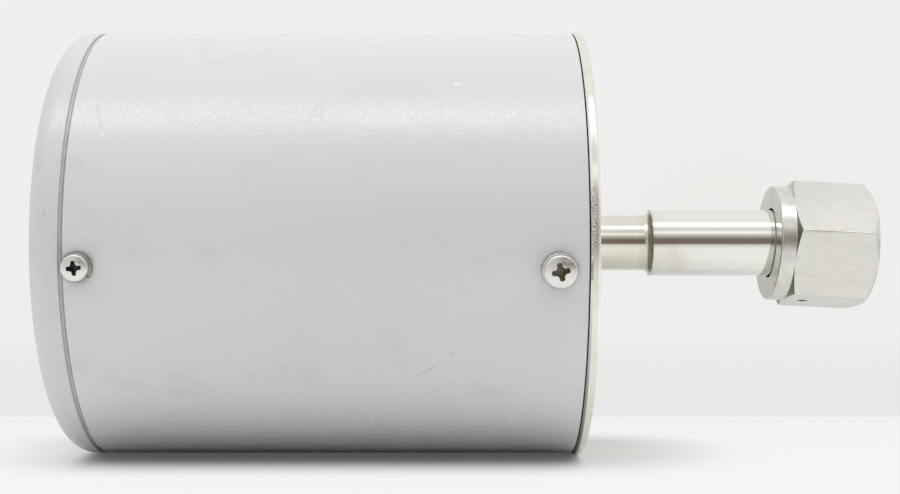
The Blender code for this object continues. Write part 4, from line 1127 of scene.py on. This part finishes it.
@dataclass
class Port:
    """The stub tube, the gland, the weld between them and the sealing bead."""

    tube_radius: float = 0.0065
    bore: float = 0.00526
    socket: float = 0.0068
    neck: float = 0.0078
    flange: float = 0.0095
    flange_thickness: float = 0.0033
    root: float = 0.0005
    fine_edge: float = 0.0001
    flange_edge: float = 0.00015
    bore_edge: float = 0.0002
    gland_back: float = -0.0365
    socket_depth: float = 0.0085
    weld_leg: float = 0.0017
    weld_facets: int = 10
    weld_lap: float = 0.0002
    weld_sink: float = 0.0001
    weld_cover: float = 0.0003
    bead_circle: float = 0.0071
    bead_radius: float = 0.0007
    bead_facets: int = 12
    ripples: int = 92
    ripple_height: float = 0.000008
    ripple_lean: float = 1.6
    swells: float = 5.0
    swell_share: float = 1.5

    def build(self) -> None:
        """Make and dress the tube, the gland and the weld."""
        self.add_tube()
        self.add_gland()
        self.add_weld()

    def add_tube(self) -> None:
        """Make the stub tube."""
        low, high = (corner[0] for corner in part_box("port_tube"))
        mesh = turned("tube_drawn", [
            Corner(low, self.bore, self.fine_edge), Corner(low, self.tube_radius, self.fine_edge),
            Corner(high, self.tube_radius, self.bore_edge), Corner(high, self.bore, self.bore_edge)],
            PORT_STEPS)
        steel = SteelFinish(
            "drawn_tube_steel", (0.85, 0.83, 0.765), 0.07, ring_scale=9000.0, ring_depth=0.0000004,
            stain_share=0.1, tints=(
                Band(self.gland_back - self.weld_leg, 0.0022, 0.3, (0.45, 0.41, 0.28), 500.0),
                Band(self.gland_back - 0.007, 0.0065, 0.25, (0.66, 0.62, 0.46), 160.0)))
        add_piece("tube_drawn", mesh, [steel.material()], ["port_tube"])

    def add_gland(self) -> None:
        """Make the gland with its neck, flange and raised sealing bead."""
        back = self.gland_back
        turns = [math.pi * step / self.bead_facets for step in range(self.bead_facets + 1)]
        bead = [(self.bead_radius * math.sin(turn), self.bead_circle + self.bead_radius * math.cos(turn))
                for turn in turns]
        flange_back = -self.flange_thickness
        outer = softened([
            Corner(back + self.socket_depth, self.bore), Corner(back + self.socket_depth, self.socket),
            Corner(back, self.socket), Corner(back, self.neck, self.fine_edge),
            Corner(flange_back, self.neck, self.root), Corner(flange_back, self.flange, self.flange_edge),
            Corner(0.0, self.flange, self.flange_edge), Corner(0.0, self.bead_circle + self.bead_radius)],
            closed=False)
        inner = [(0.0, self.bore + self.bore_edge), (-self.bore_edge, self.bore)]
        mesh = revolved("gland_polished", [*outer, *bead[1:], *inner], PORT_STEPS)
        steel = SteelFinish(
            "polished_gland_steel", (0.88, 0.875, 0.835), 0.08, ring_scale=9000.0,
            ring_depth=0.0000004, stain_share=0.04, tints=(
                Band(back, 0.0006, 0.32, (0.38, 0.36, 0.26), 500.0),
                Band(back + 0.001, 0.0022, 0.16, (0.62, 0.58, 0.44), 300.0)), patches=(
                Patch((back + 0.0058, -0.006, -0.0036), (0.0036, 0.006, 0.0052), (0.68, 0.60, 0.48), 0.42),
                Patch((back + 0.0035, -0.0072, -0.002), (0.0035, 0.004, 0.004), (0.70, 0.63, 0.50), 0.3)))
        add_piece("gland_polished", mesh, [steel.material()], ["weld_gland"])

    def add_weld(self) -> None:
        """Make the rippled concave weld that runs from the tube up onto the gland."""
        back, leg = self.gland_back, self.weld_leg
        sunk = self.tube_radius - self.weld_sink
        rise = self.neck - self.tube_radius
        turns = [math.pi / 2 * step / self.weld_facets for step in range(self.weld_facets + 1)]
        curve = [(back - leg * (1 - math.sin(turn)), self.tube_radius + rise * (1 - math.cos(turn)))
                 for turn in turns]
        profile = [(back - leg - self.weld_lap, sunk), *curve,
                   (back + self.weld_cover, self.neck - self.weld_lap), (back, sunk)]

        def rippled(x: float, radius: float, angle: float) -> Point:
            """Swell the weld's face where each ripple of the bead froze."""
            inside = radius < self.tube_radius or x > back
            chevron = angle * self.ripples + (x - back) / leg * self.ripple_lean
            swell = self.swell_share * math.sin(angle * self.swells)
            return x, radius + (0.0 if inside else self.ripple_height * (math.sin(chevron) + swell))

        mesh = revolved("weld_fillet", profile, PORT_STEPS * 4, warp=rippled)
        steel = SteelFinish(
            "heat_tinted_weld", (0.74, 0.72, 0.63), 0.24, stain=(0.40, 0.36, 0.24), stain_share=0.3, tints=(
                Band(back - leg * 0.1, 0.0007, 0.35, (0.34, 0.33, 0.25), 500.0),))
        add_piece("weld_fillet", mesh, [steel.material()], sharp=60.0)


@dataclass
class CouplingNut:
    """The loose hexagonal nut that hangs tilted on the gland's neck."""

    hang: float = -0.0076
    back: float = -0.00055
    tilt: float = math.radians(3.0)
    clocking: float = math.radians(11.8)
    length: float = 0.02265
    half_flats: float = 0.0135
    collar_inset: float = 0.00005
    collar_length: float = 0.0035
    collar_edge: float = 0.0004
    collar_root: float = 0.00025
    back_chamfer: float = 0.00085
    front_chamfer: float = 0.00215
    front_rim: float = 0.013
    front_edge: float = 0.0002
    bore: float = 0.00825
    shoulder: float = 0.00415
    shoulder_chamfer: float = 0.0007
    relief: float = 0.0112
    relief_length: float = 0.0036
    thread_minor: float = 0.01013
    thread_depth: float = 0.00098
    thread_pitch: float = 0.001814
    thread_rows: int = 14
    mouth_chamfer: float = 0.0011
    corner_round: float = 0.0003
    blank_room: float = 0.0004
    bore_room: float = 0.0005
    broken_edge: float = 0.00012
    broken_angle: float = 20.0
    leak_hole: float = 0.0011
    flat_slack: float = 0.0003
    collar_slack: float = 0.0002
    flat_lean: float = 0.01
    faced_lean: float = -0.85
    flats: int = 6

    @property
    def corner_radius(self) -> float:
        """Give the distance from the nut's axis to the hexagon's sharp corners."""
        return self.half_flats * 2 / math.sqrt(3.0)

    def thread_radius(self, x: float, angle: float) -> float:
        """Give the internal thread's radius.

        Args:
            x: The place along the nut.
            angle: The angle round it.

        Returns:
            The radius there, from the crest's to the root's.
        """
        phase = (x / self.thread_pitch - angle / (2 * math.pi)) % 1.0
        off_crest = abs(phase - 0.5)
        crest, root = 1 / 8, 1 / 2 - 1 / 16
        depth = min(1.0, max(0.0, (off_crest - crest) / (root - crest)))
        return self.thread_minor + self.thread_depth * depth

    def cavity_mesh(self) -> Mesh:
        """Make the solid that the boring bar and the tap take out of the nut."""
        past = 0.0003
        relief_end = self.shoulder + self.relief_length
        mouth = self.length - self.mouth_chamfer
        row = self.thread_pitch / self.thread_rows
        rows = int((self.length + past - relief_end) / row) + 1
        thread = [(relief_end + row * step, self.thread_minor) for step in range(rows + 1)]
        profile = [
            (-past, 0.0), (-past, self.bore + past), (0.0, self.bore + past), (past, self.bore),
            (self.shoulder - self.shoulder_chamfer, self.bore),
            (self.shoulder, self.bore + self.shoulder_chamfer), (self.shoulder, self.relief),
            (relief_end - row, self.relief), *thread, (thread[-1][0], 0.0)]

        def tapped(x: float, radius: float, angle: float) -> Point:
            """Cut the thread into its stretch and open it towards the mouth."""
            if radius != self.thread_minor:
                return x, radius
            cone = self.thread_minor + max(0.0, x - mouth)
            return x, max(self.thread_radius(x, angle), cone)

        return revolved("cavity", profile, NUT_STEPS, closed=False, warp=tapped)

    def blank_mesh(self) -> Mesh:
        """Make the turned blank: collar, chamfer cones and front rim."""
        corner = self.corner_radius
        collar = self.half_flats - self.collar_inset
        outside = corner + self.blank_room
        rise = self.back_chamfer / (corner - collar) * (outside - collar)
        fall = self.front_chamfer / (corner - self.front_rim) * (outside - self.front_rim)
        return turned("nut_forged", [
            Corner(0.0, 0.0), Corner(0.0, collar, self.collar_edge),
            Corner(self.collar_length, collar, self.collar_root),
            Corner(self.collar_length + rise, outside), Corner(self.length - fall, outside),
            Corner(self.length, self.front_rim, self.front_edge), Corner(self.length, 0.0)],
            NUT_STEPS, closed=False)

    def build(self) -> None:
        """Make, hang and dress the nut."""
        corner = self.corner_radius
        hexagon = rounded(circle(corner, self.flats), self.corner_round)
        bar = extruded("bar", hexagon, -PAST, self.length + PAST)
        solid = boolean(self.blank_mesh(), [bar], Kind.KEEP)
        drill = upright(extruded("drill", circle(self.leak_hole, HOLE_STEPS), -corner, corner))
        drill = placed(drill, Matrix.Translation((-self.hang - self.back, 0, 0)))
        solid = boolean(solid, [self.cavity_mesh(), drill], Kind.CUT)
        solid = eased(solid, self.broken_edge, self.broken_angle, self.front_rim - self.bore_room)
        for face in solid.polygons:
            face.material_index = self.finish_of(face).value
        here = Matrix.Translation((self.hang, 0, 0)) @ Matrix.Rotation(self.tilt, 4, "Y")
        here = here @ Matrix.Translation((self.back, 0, 0)) @ Matrix.Rotation(-self.clocking, 4, "X")
        steel = [
            SteelFinish("nut_milled_steel", (0.76, 0.745, 0.70), 0.2, scratch_depth=0.000004,
                        stain_share=0.16, mottle=0.14, patches=(
                            Patch((0.0015, -0.0152, 0.0026), (0.007, 0.002, 0.0006), (0.52, 0.51, 0.42), 0.6),
                            Patch((0.0075, -0.0130, -0.0085), (0.003, 0.004, 0.003), (0.70, 0.66, 0.58), 0.5))
                        ).material(),
            SteelFinish("nut_turned_steel", (0.755, 0.74, 0.70), 0.27, ring_scale=7000.0,
                        ring_depth=0.0000015, stain_share=0.12, mottle=0.3).material(),
            SteelFinish("nut_faced_steel", (0.56, 0.55, 0.49), 0.2, ring_scale=7000.0,
                        ring_depth=0.0000015, stain_share=0.3).material(),
            # The back chamfer is painted dark as a painted reflection of the shaded plate, and paler on top
            # as painted light
            SteelFinish("nut_chamfer_shaded_steel", (0.30, 0.30, 0.235), 0.35, stain_share=0.2, patches=(
                Patch((-0.004, 0.0, 0.0145), (0.005, 0.02, 0.0048), (0.72, 0.72, 0.69), 1.0),)).material()]
        add_piece("nut_forged", placed(solid, here), steel, ["coupling_nut"], NUT)

    def finish_of(self, face: bpy.types.MeshPolygon) -> NutFace:
        """Say how a face of the nut, in the nut's own frame, is finished."""
        on_hexagon = (math.hypot(face.center.y, face.center.z) > self.half_flats - self.flat_slack
                      and face.center.x > self.collar_length - self.collar_slack)
        if abs(face.normal.x) < self.flat_lean and on_hexagon:
            return NutFace.MILLED
        if face.normal.x > self.faced_lean:
            return NutFace.TURNED
        return NutFace.CHAMFER if on_hexagon else NutFace.FACED


# The signal inlet


@dataclass
class SignalInlet:
    """The fifteen-way inlet on the cap's face, with its jack posts."""

    seat: float = field(init=False)
    flange_back: float = field(init=False)
    flange_length: float = 0.0392
    flange_height: float = 0.0125
    flange_thickness: float = 0.0008
    flange_round: float = 0.0025
    top_width: float = 0.0249
    height: float = 0.0083
    slope: float = math.radians(10.0)
    shell_round: float = 0.0026
    shell_edge: float = 0.0001
    moulded_edge: float = 0.00012
    broken_angle: float = 50.0
    sheet: float = 0.0005
    reach: float = 0.0058
    depth: float = 0.0066
    insert_setback: float = 0.0048
    room: float = 0.0003
    pin_rows: tuple[tuple[int, float], ...] = ((8, 0.00142), (7, -0.00142))
    pin_pitch: float = 0.00277
    pin_radius: float = 0.0005
    pin_reach: float = 0.0042
    pin_tail: float = 0.003
    jack_spacing: float = 0.0333
    jack_sides: int = 6
    jack_flats: float = 0.0048
    jack_height: float = 0.005
    jack_crown: float = 0.0006
    jack_bore: float = 0.0012
    jack_shank: float = 0.0013
    jack_grip: float = 0.0065

    def __post_init__(self) -> None:
        """Take the flange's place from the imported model."""
        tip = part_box("signal_inlet_shell")[0][0]
        self.flange_back = tip + self.reach
        self.seat = self.flange_back + self.flange_thickness

    @property
    def jack_places(self) -> tuple[float, float]:
        """Give the Y places of the two jack posts."""
        return -self.jack_spacing / 2, self.jack_spacing / 2

    def outline(self, growth: float) -> list[Point]:
        """Give the shell's D-shaped outline, grown all round."""
        half_height = self.height / 2 + growth
        shift = half_height * math.tan(self.slope)
        half_middle = self.top_width / 2 - self.height / 2 * math.tan(self.slope) + growth
        corners = [(-half_middle + shift, -half_height), (half_middle - shift, -half_height),
                   (half_middle + shift, half_height), (-half_middle - shift, half_height)]
        return rounded(corners, self.shell_round + growth)

    def windows(self, low: float, high: float) -> list[Mesh]:
        """Make what cuts the inlet's window and the post holes in the cap's face.

        Args:
            low: The face's outer side on X.
            high: Its inner side.

        Returns:
            The cutting meshes.
        """
        return [extruded("window", self.outline(self.room), low - PAST, high + PAST),
                *self.post_holes(low, high)]

    def post_holes(self, low: float, high: float) -> list[Mesh]:
        """Make what drills the jack posts' holes through a wall between two places on X."""
        return [extruded("hole", circle(self.jack_shank + self.room, HOLE_STEPS, (y, 0.0)), low - PAST,
                         high + PAST) for y in self.jack_places]

    def build(self) -> None:
        """Make and dress the shell, the insert, its pins and the posts."""
        self.add_shell()
        self.add_insert()
        self.add_posts()

    def add_shell(self) -> None:
        """Make the drawn shell on its flange."""
        tip = self.flange_back - self.reach
        end = self.seat + self.depth
        plate = rounded(rectangle(self.flange_length, self.flange_height), self.flange_round)
        flange = extruded("inlet_tinned_shell", plate, self.flange_back, self.seat)
        tongue = extruded("tongue", self.outline(0.0), tip, end)
        hollow = extruded("hollow", self.outline(-self.sheet), tip - PAST, end + PAST)
        holes = self.post_holes(self.flange_back, self.seat)
        mesh = boolean(boolean(flange, [tongue], Kind.JOIN), [hollow, *holes], Kind.CUT)
        mesh = eased(mesh, self.shell_edge, self.broken_angle)
        steel = SteelFinish("tinned_inlet_steel", (0.80, 0.79, 0.74), 0.22, stain_share=0.2)
        add_piece("inlet_tinned_shell", mesh, [steel.material()], ["signal_inlet_shell"])

    def add_insert(self) -> None:
        """Make the moulded insert and the plated pins in it."""
        face = self.flange_back - self.reach + self.insert_setback
        back = self.seat + self.depth
        insert = extruded("inlet_moulded_insert", self.outline(-self.sheet - self.room), face, back)
        insert = eased(insert, self.moulded_edge, self.broken_angle)
        plastic = PlainFinish("black_moulding", (0.028, 0.028, 0.031), 0.42, grain_depth=0.000012)
        add_piece("inlet_moulded_insert", insert, [plastic.material()],
                  ["signal_inlet_insert"])
        tip, tail = face - self.pin_reach, back + self.pin_tail
        pins = bmesh.new()
        for count, z in self.pin_rows:
            for index in range(count):
                y = (index - (count - 1) / 2) * self.pin_pitch
                pin = turned("pin", [
                    Corner(tip, 0.0), Corner(tip, self.pin_radius, 0.0003), Corner(tail, self.pin_radius),
                    Corner(tail, 0.0)], PIN_STEPS, closed=False)
                pins.from_mesh(placed(pin, Matrix.Translation((0, y, z))))
        gold = SteelFinish("plated_pin_gold", (0.92, 0.70, 0.33), 0.18, stain_share=0.1)
        add_piece("inlet_plated_pins", to_mesh("inlet_plated_pins", pins), [gold.material()])

    def add_posts(self) -> None:
        """Make the two hexagonal jack posts."""
        steel = SteelFinish("plated_post_steel", (0.74, 0.74, 0.71), 0.2, stain_share=0.15)
        material = steel.material()
        seat = self.flange_back - self.room
        top = seat - self.jack_height
        corner = self.jack_flats / math.sqrt(3.0)
        for number, y in enumerate(self.jack_places, 1):
            post = extruded("post", circle(corner, self.jack_sides), top, seat)
            crown = turned("crown", [
                Corner(top, 0.0), Corner(top, self.jack_flats * 0.46),
                Corner(top + self.jack_crown, corner + 0.0001), Corner(seat + 0.0002, corner + 0.0001),
                Corner(seat + 0.0002, 0.0)], CROWN_STEPS, closed=False)
            shank = turned("shank", [
                Corner(seat - 0.0005, 0.0), Corner(seat - 0.0005, self.jack_shank),
                Corner(seat + self.jack_grip, self.jack_shank, 0.0002), Corner(seat + self.jack_grip, 0.0)],
                HOLE_STEPS, closed=False)
            bore = turned("bore", [
                Corner(top - 0.0002, 0.0), Corner(top - 0.0002, self.jack_bore + 0.0005),
                Corner(top + 0.0003, self.jack_bore), Corner(seat - 0.0004, self.jack_bore),
                Corner(seat - 0.0004, 0.0)], HOLE_STEPS, closed=False)
            mesh = boolean(post, [crown], Kind.KEEP)
            mesh = boolean(boolean(mesh, [shank], Kind.JOIN), [bore], Kind.CUT)
            mesh.name = f"inlet_post_{number}"
            mesh = placed(mesh, Matrix.Translation((0, y, 0)))
            add_piece(f"inlet_post_{number}", mesh, [material], [f"jack_post_{number}"])


# What the housing holds


def numbered(kind: str, count: int) -> tuple[str, ...]:
    """Give the names of a repeated node."""
    return tuple(f"{kind}_{number}" for number in range(1, count + 1))


@dataclass(frozen=True)
class Inside:
    """The sensor, the heated enclosure and the electronics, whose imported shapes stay."""

    sensor: tuple[str, ...] = ("sensor_bracket", "sensor_inlet_cover", "inlet_baffle", "spacer_ring",
                               "wave_spring", "reference_cover", "getter_capsule")
    spun: tuple[str, ...] = ("thermal_can", "thermal_lid", *numbered("board_standoff", 3))
    fired: tuple[str, ...] = ("electrode_disc", *numbered("electrode_feedthrough", 2))
    wires: tuple[str, ...] = (*numbered("electrode_lead", 2), "heater_lead", "signal_harness")

    def finishes(self) -> dict[tuple[str, ...], SteelFinish | PlainFinish]:
        """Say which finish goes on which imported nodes."""
        return {
            self.sensor: SteelFinish("sensor_body_steel", (0.70, 0.69, 0.67), 0.28, ring_scale=4000.0,
                                     ring_depth=0.000004),
            ("diaphragm",): SteelFinish("stretched_foil", (0.78, 0.78, 0.79), 0.14),
            self.fired: PlainFinish("fired_ceramic", (0.84, 0.83, 0.78), 0.38, variation=0.04),
            ("pinch_off_tube",): SteelFinish("soft_copper", (0.85, 0.48, 0.34), 0.24),
            self.spun: SteelFinish("spun_aluminium", (0.80, 0.81, 0.82), 0.36, ring_scale=3000.0,
                                   ring_depth=0.000006),
            ("heater_band",): PlainFinish("heater_silicone", (0.40, 0.12, 0.07), 0.6, grain_scale=1400.0),
            ("insulation_sleeve", "insulation_disc"): PlainFinish(
                "closed_cell_foam", (0.76, 0.72, 0.60), 0.9, grain_scale=700.0, grain_depth=0.00025),
            ("thermostat",): PlainFinish("thermostat_plastic", (0.035, 0.035, 0.035), 0.5),
            ("circuit_board",): PlainFinish("masked_board", (0.03, 0.17, 0.08), 0.35, variation=0.3),
            self.wires: PlainFinish("wire_insulation", (0.33, 0.34, 0.36), 0.45),
            numbered("board_screw", 3): SteelFinish("board_screw_steel", (0.72, 0.72, 0.71), 0.22),
        }

    def build(self) -> None:
        """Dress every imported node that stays."""
        for names, finish in self.finishes().items():
            material = finish.material()
            for name in names:
                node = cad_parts[name]
                node.data.materials.clear()
                node.data.materials.append(material)
            log.info("%s: %s", finish.name, ", ".join(names))


# The studio


@dataclass
class Studio:
    """The pale floor, the soft box, the surroundings and the camera."""

    floor_z: float = field(init=False)
    footprint: Point = field(init=False)
    focal_pixels: float = 1408.0
    image_width: int = 900
    image_height: int = 494
    sensor: float = 36.0
    principal: Point = (437.35, 242.8)
    camera_x: float = -0.0866
    camera_distance: float = 0.3341
    softbox_offset: tuple[float, float, float] = (0.06, -0.254, 0.598)
    softbox_size: Point = (1.3, 0.13)
    softbox_watts: float = 1.4
    floor_near: float = -0.55
    floor_far: float = 3.0
    mirrored_fades: tuple[tuple[float, float, float, float], ...] = (
        (-0.3, -0.1, 0.6, 0.82), (-0.08, -0.015, 1.0, 1.2), (0.0, 0.06, 1.0, 0.7))
    shadow_near: float = 0.012
    shadow_far: float = 0.039
    shadow_kept: float = 0.06
    shadow_lift: float = 0.088
    wall_place: float = 0.068
    wall_colour: Colour = (0.865, 0.863, 0.86)
    far_colour: Colour = (0.815, 0.81, 0.80)
    near_colour: Colour = (0.92, 0.92, 0.92)
    left_colour: Colour = (0.60, 0.585, 0.57)
    warm_colour: Colour = (0.855, 0.840, 0.820)
    low_light: Colour = (0.29, 0.29, 0.29)
    high_light: Colour = (1.90, 1.90, 1.90)
    seen_floor: Colour = (0.70, 0.70, 0.69)
    bounced_floor: Colour = (0.58, 0.58, 0.58)
    lifted_floor: Colour = (0.98, 0.98, 0.98)
    contact_floor: Colour = (0.68, 0.68, 0.68)

    def __post_init__(self) -> None:
        """Lay the floor under the housing."""
        self.floor_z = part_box("base_plate")[0][2]
        self.footprint = (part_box("end_cap")[0][0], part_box("base_plate")[1][0])

    def build(self) -> None:
        """Set the stage."""
        self.add_camera()
        self.add_floor()
        self.add_surroundings()
        self.add_softbox()
        bpy.context.scene.view_settings.view_transform = "Standard"

    def add_camera(self) -> None:
        """Place the camera as the photograph's perspective was fitted."""
        data = bpy.data.cameras.new("camera")
        data.sensor_width = self.sensor
        data.lens = self.focal_pixels / self.image_width * self.sensor
        data.shift_x = (self.image_width / 2 - self.principal[0]) / self.image_width
        data.shift_y = (self.principal[1] - self.image_height / 2) / self.image_width
        data.clip_start = 0.01
        camera = added("camera", data)
        camera.location = (self.camera_x, -self.camera_distance, 0.0)
        camera.rotation_euler = (math.pi / 2, 0, 0)
        bpy.context.scene.camera = camera

    def add_floor(self) -> None:
        """Lay a pale floor whose shadow fades into the backdrop away from the object."""
        mesh = bpy.data.meshes.new("floor")
        side = self.floor_far
        corners = [(-side, self.floor_near), (side, self.floor_near), (side, side), (-side, side)]
        mesh.from_pydata([(x, y, self.floor_z) for x, y in corners], [], [(0, 1, 2, 3)])
        shade = Shade("floor_paper")
        x, y, _ = shade.split(shade.place)
        rays = shade.add("ShaderNodeLightPath", {}).outputs
        grain = shade.clouds(30.0, 0.3, 0.7, 0.985, 1.015, 4.0)
        depth: object = 1.0
        for fade in self.mirrored_fades:
            depth = shade.times(depth, shade.ramp(y, *fade))
        mirrored = shade.mix(depth, (0.0, 0.0, 0.0), self.seen_floor)
        bounced = shade.mix(shade.ramp(y, -0.2, -0.1), self.bounced_floor, self.lifted_floor)
        bounced = shade.mix(shade.ramp(y, -0.045, -0.03), bounced, self.contact_floor)
        tone = shade.mix(rays["Is Diffuse Ray"], mirrored, bounced)
        tone = shade.mix(1.0, tone, shade.joined(grain, grain, grain), "MULTIPLY")
        shade.dress(Base_Color=tone, Roughness=1.0, Specular_IOR_Level=0.0)
        low, high = self.footprint
        past = shade.math("MAXIMUM", shade.minus(low, x), shade.minus(x, high))
        past = shade.times(shade.math("MAXIMUM", past, 0.0), 0.8)
        off = shade.distance(y, past)
        faded = shade.ramp(off, self.shadow_near, self.shadow_far, self.shadow_lift, 1.0 - self.shadow_kept)
        nearer = shade.mix(shade.ramp(y, -0.05, self.wall_place), self.near_colour,
                           varied(self.near_colour, 0.025)[0])
        step = shade.ramp(y, self.wall_place - 0.004, self.wall_place + 0.004)
        wall = shade.mix(shade.ramp(y, self.wall_place, 0.5), self.far_colour, self.wall_colour)
        glow = shade.add("ShaderNodeEmission", {"Color": shade.mix(step, nearer, wall)})
        share = shade.times(rays["Is Camera Ray"], faded)
        blend = shade.add("ShaderNodeMixShader", {0: share, 1: shade.shader.outputs[0], 2: glow.outputs[0]})
        shade.feed(shade.tree.nodes["Material Output"].inputs["Surface"], blend.outputs[0])
        mesh.materials.append(shade.material)
        floor = added("floor", mesh)

    def add_surroundings(self) -> None:
        """Surround the object with a soft white room that metal mirrors with a darker front."""
        world = bpy.data.worlds.new("room")
        bpy.context.scene.world = world
        world.use_nodes = True
        world.node_tree.nodes.clear()
        room = Nodes(world.node_tree)
        x, y, z = room.split(room.add("ShaderNodeTexCoord", {}).outputs["Generated"])
        front = room.times(y, -1.0)
        climb = room.math("DIVIDE", room.math("ARCTAN2", z, front), math.pi)
        sideways = room.math("ARCTAN2", x, front)
        mirrored = room.banded(climb, [(degrees / 180.0, colour) for degrees, colour in MIRRORED_BANDS])
        left = room.ramp(sideways, math.radians(7.0), math.radians(-1.0))
        rays = room.add("ShaderNodeLightPath", {}).outputs
        mirrored_once = room.math("LESS_THAN", rays["Glossy Depth"], 1.5)
        mirrored = room.mix(room.times(left, mirrored_once), mirrored, self.left_colour, "LIGHTEN")
        feeds = {0: room.joined(x, z, 0.0), 1: (0.2, 0.0, 0.0)}
        off = room.add("ShaderNodeVectorMath", feeds, operation="DISTANCE").outputs["Value"]
        backdrop = room.mix(room.ramp(off, 0.14, 0.04), self.wall_colour, self.warm_colour)
        ceiling = room.mix(room.ramp(z, 0.1, 0.9), self.low_light, self.high_light)
        lit = room.mix(rays["Is Glossy Ray"], ceiling, mirrored)
        seen = room.mix(rays["Is Camera Ray"], lit, backdrop)
        background = room.add("ShaderNodeBackground", {"Color": seen})
        room.add("ShaderNodeOutputWorld", {"Surface": background.outputs[0]})

    def add_softbox(self) -> None:
        """Hang the soft box over the camera, facing the object."""
        data = bpy.data.lights.new("overhead", "AREA")
        data.shape = "RECTANGLE"
        data.size, data.size_y = self.softbox_size
        data.energy = self.softbox_watts
        along, out, up = self.softbox_offset
        light = added("overhead", data)
        light.location = (self.camera_x + along, out, up)
        light.rotation_euler = Vector((0.0, -out, -up)).to_track_quat("-Z", "Y").to_euler()


# What metal mirrors by the height in degrees at which it looks forward
MIRRORED_BANDS: tuple[tuple[float, Colour], ...] = (
    (0.0, (0.23, 0.19, 0.165)), (3.5, (0.185, 0.15, 0.13)), (13.0, (0.20, 0.165, 0.14)),
    (24.0, (0.50, 0.475, 0.445)), (32.0, (0.80, 0.79, 0.77)), (36.5, (1.16, 1.15, 1.14)),
    (41.0, (0.88, 0.88, 0.87)), (46.0, (0.69, 0.69, 0.68)), (52.0, (0.78, 0.78, 0.78)),
    (58.0, (0.95, 0.95, 0.95)), (84.0, (0.90, 0.90, 0.90)), (120.0, (0.90, 0.90, 0.89)),
    (180.0, (0.84, 0.84, 0.83)),
)

# Wear that the photograph shows, as lengths along the axis and round the side
SOILED: Colour = (0.3, 0.28, 0.28)
RUBBED: Colour = (0.24, 0.25, 0.25)
CHIPPED: Colour = (0.70, 0.71, 0.70)
CAN_MARKS = (
    Mark((-0.1577, 0.0307), (-0.1561, 0.0248), 0.00045, RUBBED, 0.3, 0.00004),
    Mark((-0.1559, 0.0238), (-0.1553, 0.0226), 0.0004, CHIPPED, 0.4),
    Mark((-0.0905, -0.0292), (-0.0871, -0.027), 0.0003, RUBBED, 0.5, 0.00002),
    Mark((-0.0838, -0.0239), (-0.0832, -0.0234), 0.0003, RUBBED, 0.4),
    Mark((-0.0871, -0.034), (-0.0863, -0.033), 0.0003, RUBBED, 0.4, 0.00002),
    Mark((-0.0845, -0.0318), (-0.0831, -0.0316), 0.0009, RUBBED, 0.14),
    Mark((-0.1009, -0.0415), (-0.1008, -0.0432), 0.0004, CHIPPED, 0.6),
    Mark((-0.0709, -0.0419), (-0.0704, -0.0438), 0.0004, CHIPPED, 0.5),
    Mark((-0.0827, 0.0369), (-0.0817, 0.037), 0.0007, CHIPPED, 0.8),
    Mark((-0.0598, 0.0225), (-0.0597, 0.0225), 0.0003, CHIPPED, 0.6),
    Mark((-0.0584, 0.0225), (-0.0583, 0.0225), 0.0003, CHIPPED, 0.6),
    Mark((-0.0938, -0.041), (-0.0936, -0.041), 0.0003, CHIPPED, 0.4),
    Mark((-0.0735, -0.036), (-0.0733, -0.036), 0.00025, RUBBED, 0.4),
    Mark((-0.0582, -0.0375), (-0.058, -0.0375), 0.00025, RUBBED, 0.35),
    Mark((-0.1093, -0.0473), (-0.1041, -0.0475), 0.0003, RUBBED, 0.25),
    Mark((-0.1529, -0.0329), (-0.1525, -0.0327), 0.0003, RUBBED, 0.35),
)
CAP_MARKS = (
    Mark((-0.1685, 0.0168), (-0.1685, 0.0153), 0.0003, RUBBED, 0.5),
    Mark((-0.1662, 0.0066), (-0.1662, 0.0052), 0.00025, RUBBED, 0.45),
    Mark((-0.1660, -0.0066), (-0.1660, -0.0084), 0.0003, RUBBED, 0.3),
)


def add_screws(cap_ring: ScrewRing, base_ring: ScrewRing) -> None:
    """Finish and place both rings of screws."""
    front = -housing_radius() - 0.003
    soiled = (
        Patch((cap_ring.x + cap_ring.head * 0.45, front, -0.0034), (0.0013, 0.004, 0.0011), SOILED, 0.7),
        Patch((base_ring.x + base_ring.head * 0.45, front, -0.0036), (0.0017, 0.004, 0.0013), SOILED, 0.7))
    nickel = SteelFinish("screw_nickel", (0.85, 0.84, 0.82), 0.29, scratch_depth=0.000003,
                         stain_share=0.15, pitted=soiled).material()
    soot = PlainFinish("recess_soot", (0.14, 0.13, 0.11), 0.5, metallic=0.5, grain_scale=2600.0,
                       grain_depth=0.0001, variation=0.8)
    rust = PlainFinish("recess_rust", (0.30, 0.26, 0.16), 0.6, metallic=0.2, grain_scale=2600.0,
                       grain_depth=0.0001, variation=0.7)
    dull = SteelFinish("washer_dull_steel", (0.41, 0.40, 0.36), 0.34, scratch_depth=0.000003, stain_share=0.4)
    bright = SteelFinish("washer_bright_steel", (0.76, 0.75, 0.71), 0.18, scratch_depth=0.000003,
                         stain_share=0.2)
    cap_ring.build([nickel, soot.material()], [dull.material()])
    base_ring.build([nickel, rust.material()], [bright.material()])


def main() -> None:
    """Build and dress the transducer, then set the stage round it."""
    logging.basicConfig(level=logging.INFO, format="%(name)s %(message)s")
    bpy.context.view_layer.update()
    cap_low, cap_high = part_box("cap_screw_1")
    base_low, base_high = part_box("base_screw_1")
    cap_ring = ScrewRing(
        End.CAP, (cap_low[0] + cap_high[0]) / 2, start=math.radians(-5.65), clocking=math.radians(6.0),
        shank=0.00142, head=0.00274, height=0.0019, washer_radius=0.0031, washer_slack=0.0002)
    base_ring = ScrewRing(
        End.BASE, (base_low[0] + base_high[0]) / 2, start=math.radians(-6.45),
        clocking=math.radians(12.0), shank=0.00175, head=0.0034, height=0.0023, washer_radius=0.00362)
    inlet = SignalInlet()
    Housing().build(cap_ring, base_ring, inlet)
    add_screws(cap_ring, base_ring)
    Port().build()
    CouplingNut().build()
    inlet.build()
    Inside().build()
    Studio().build()


if __name__ == "__main__":
    main()
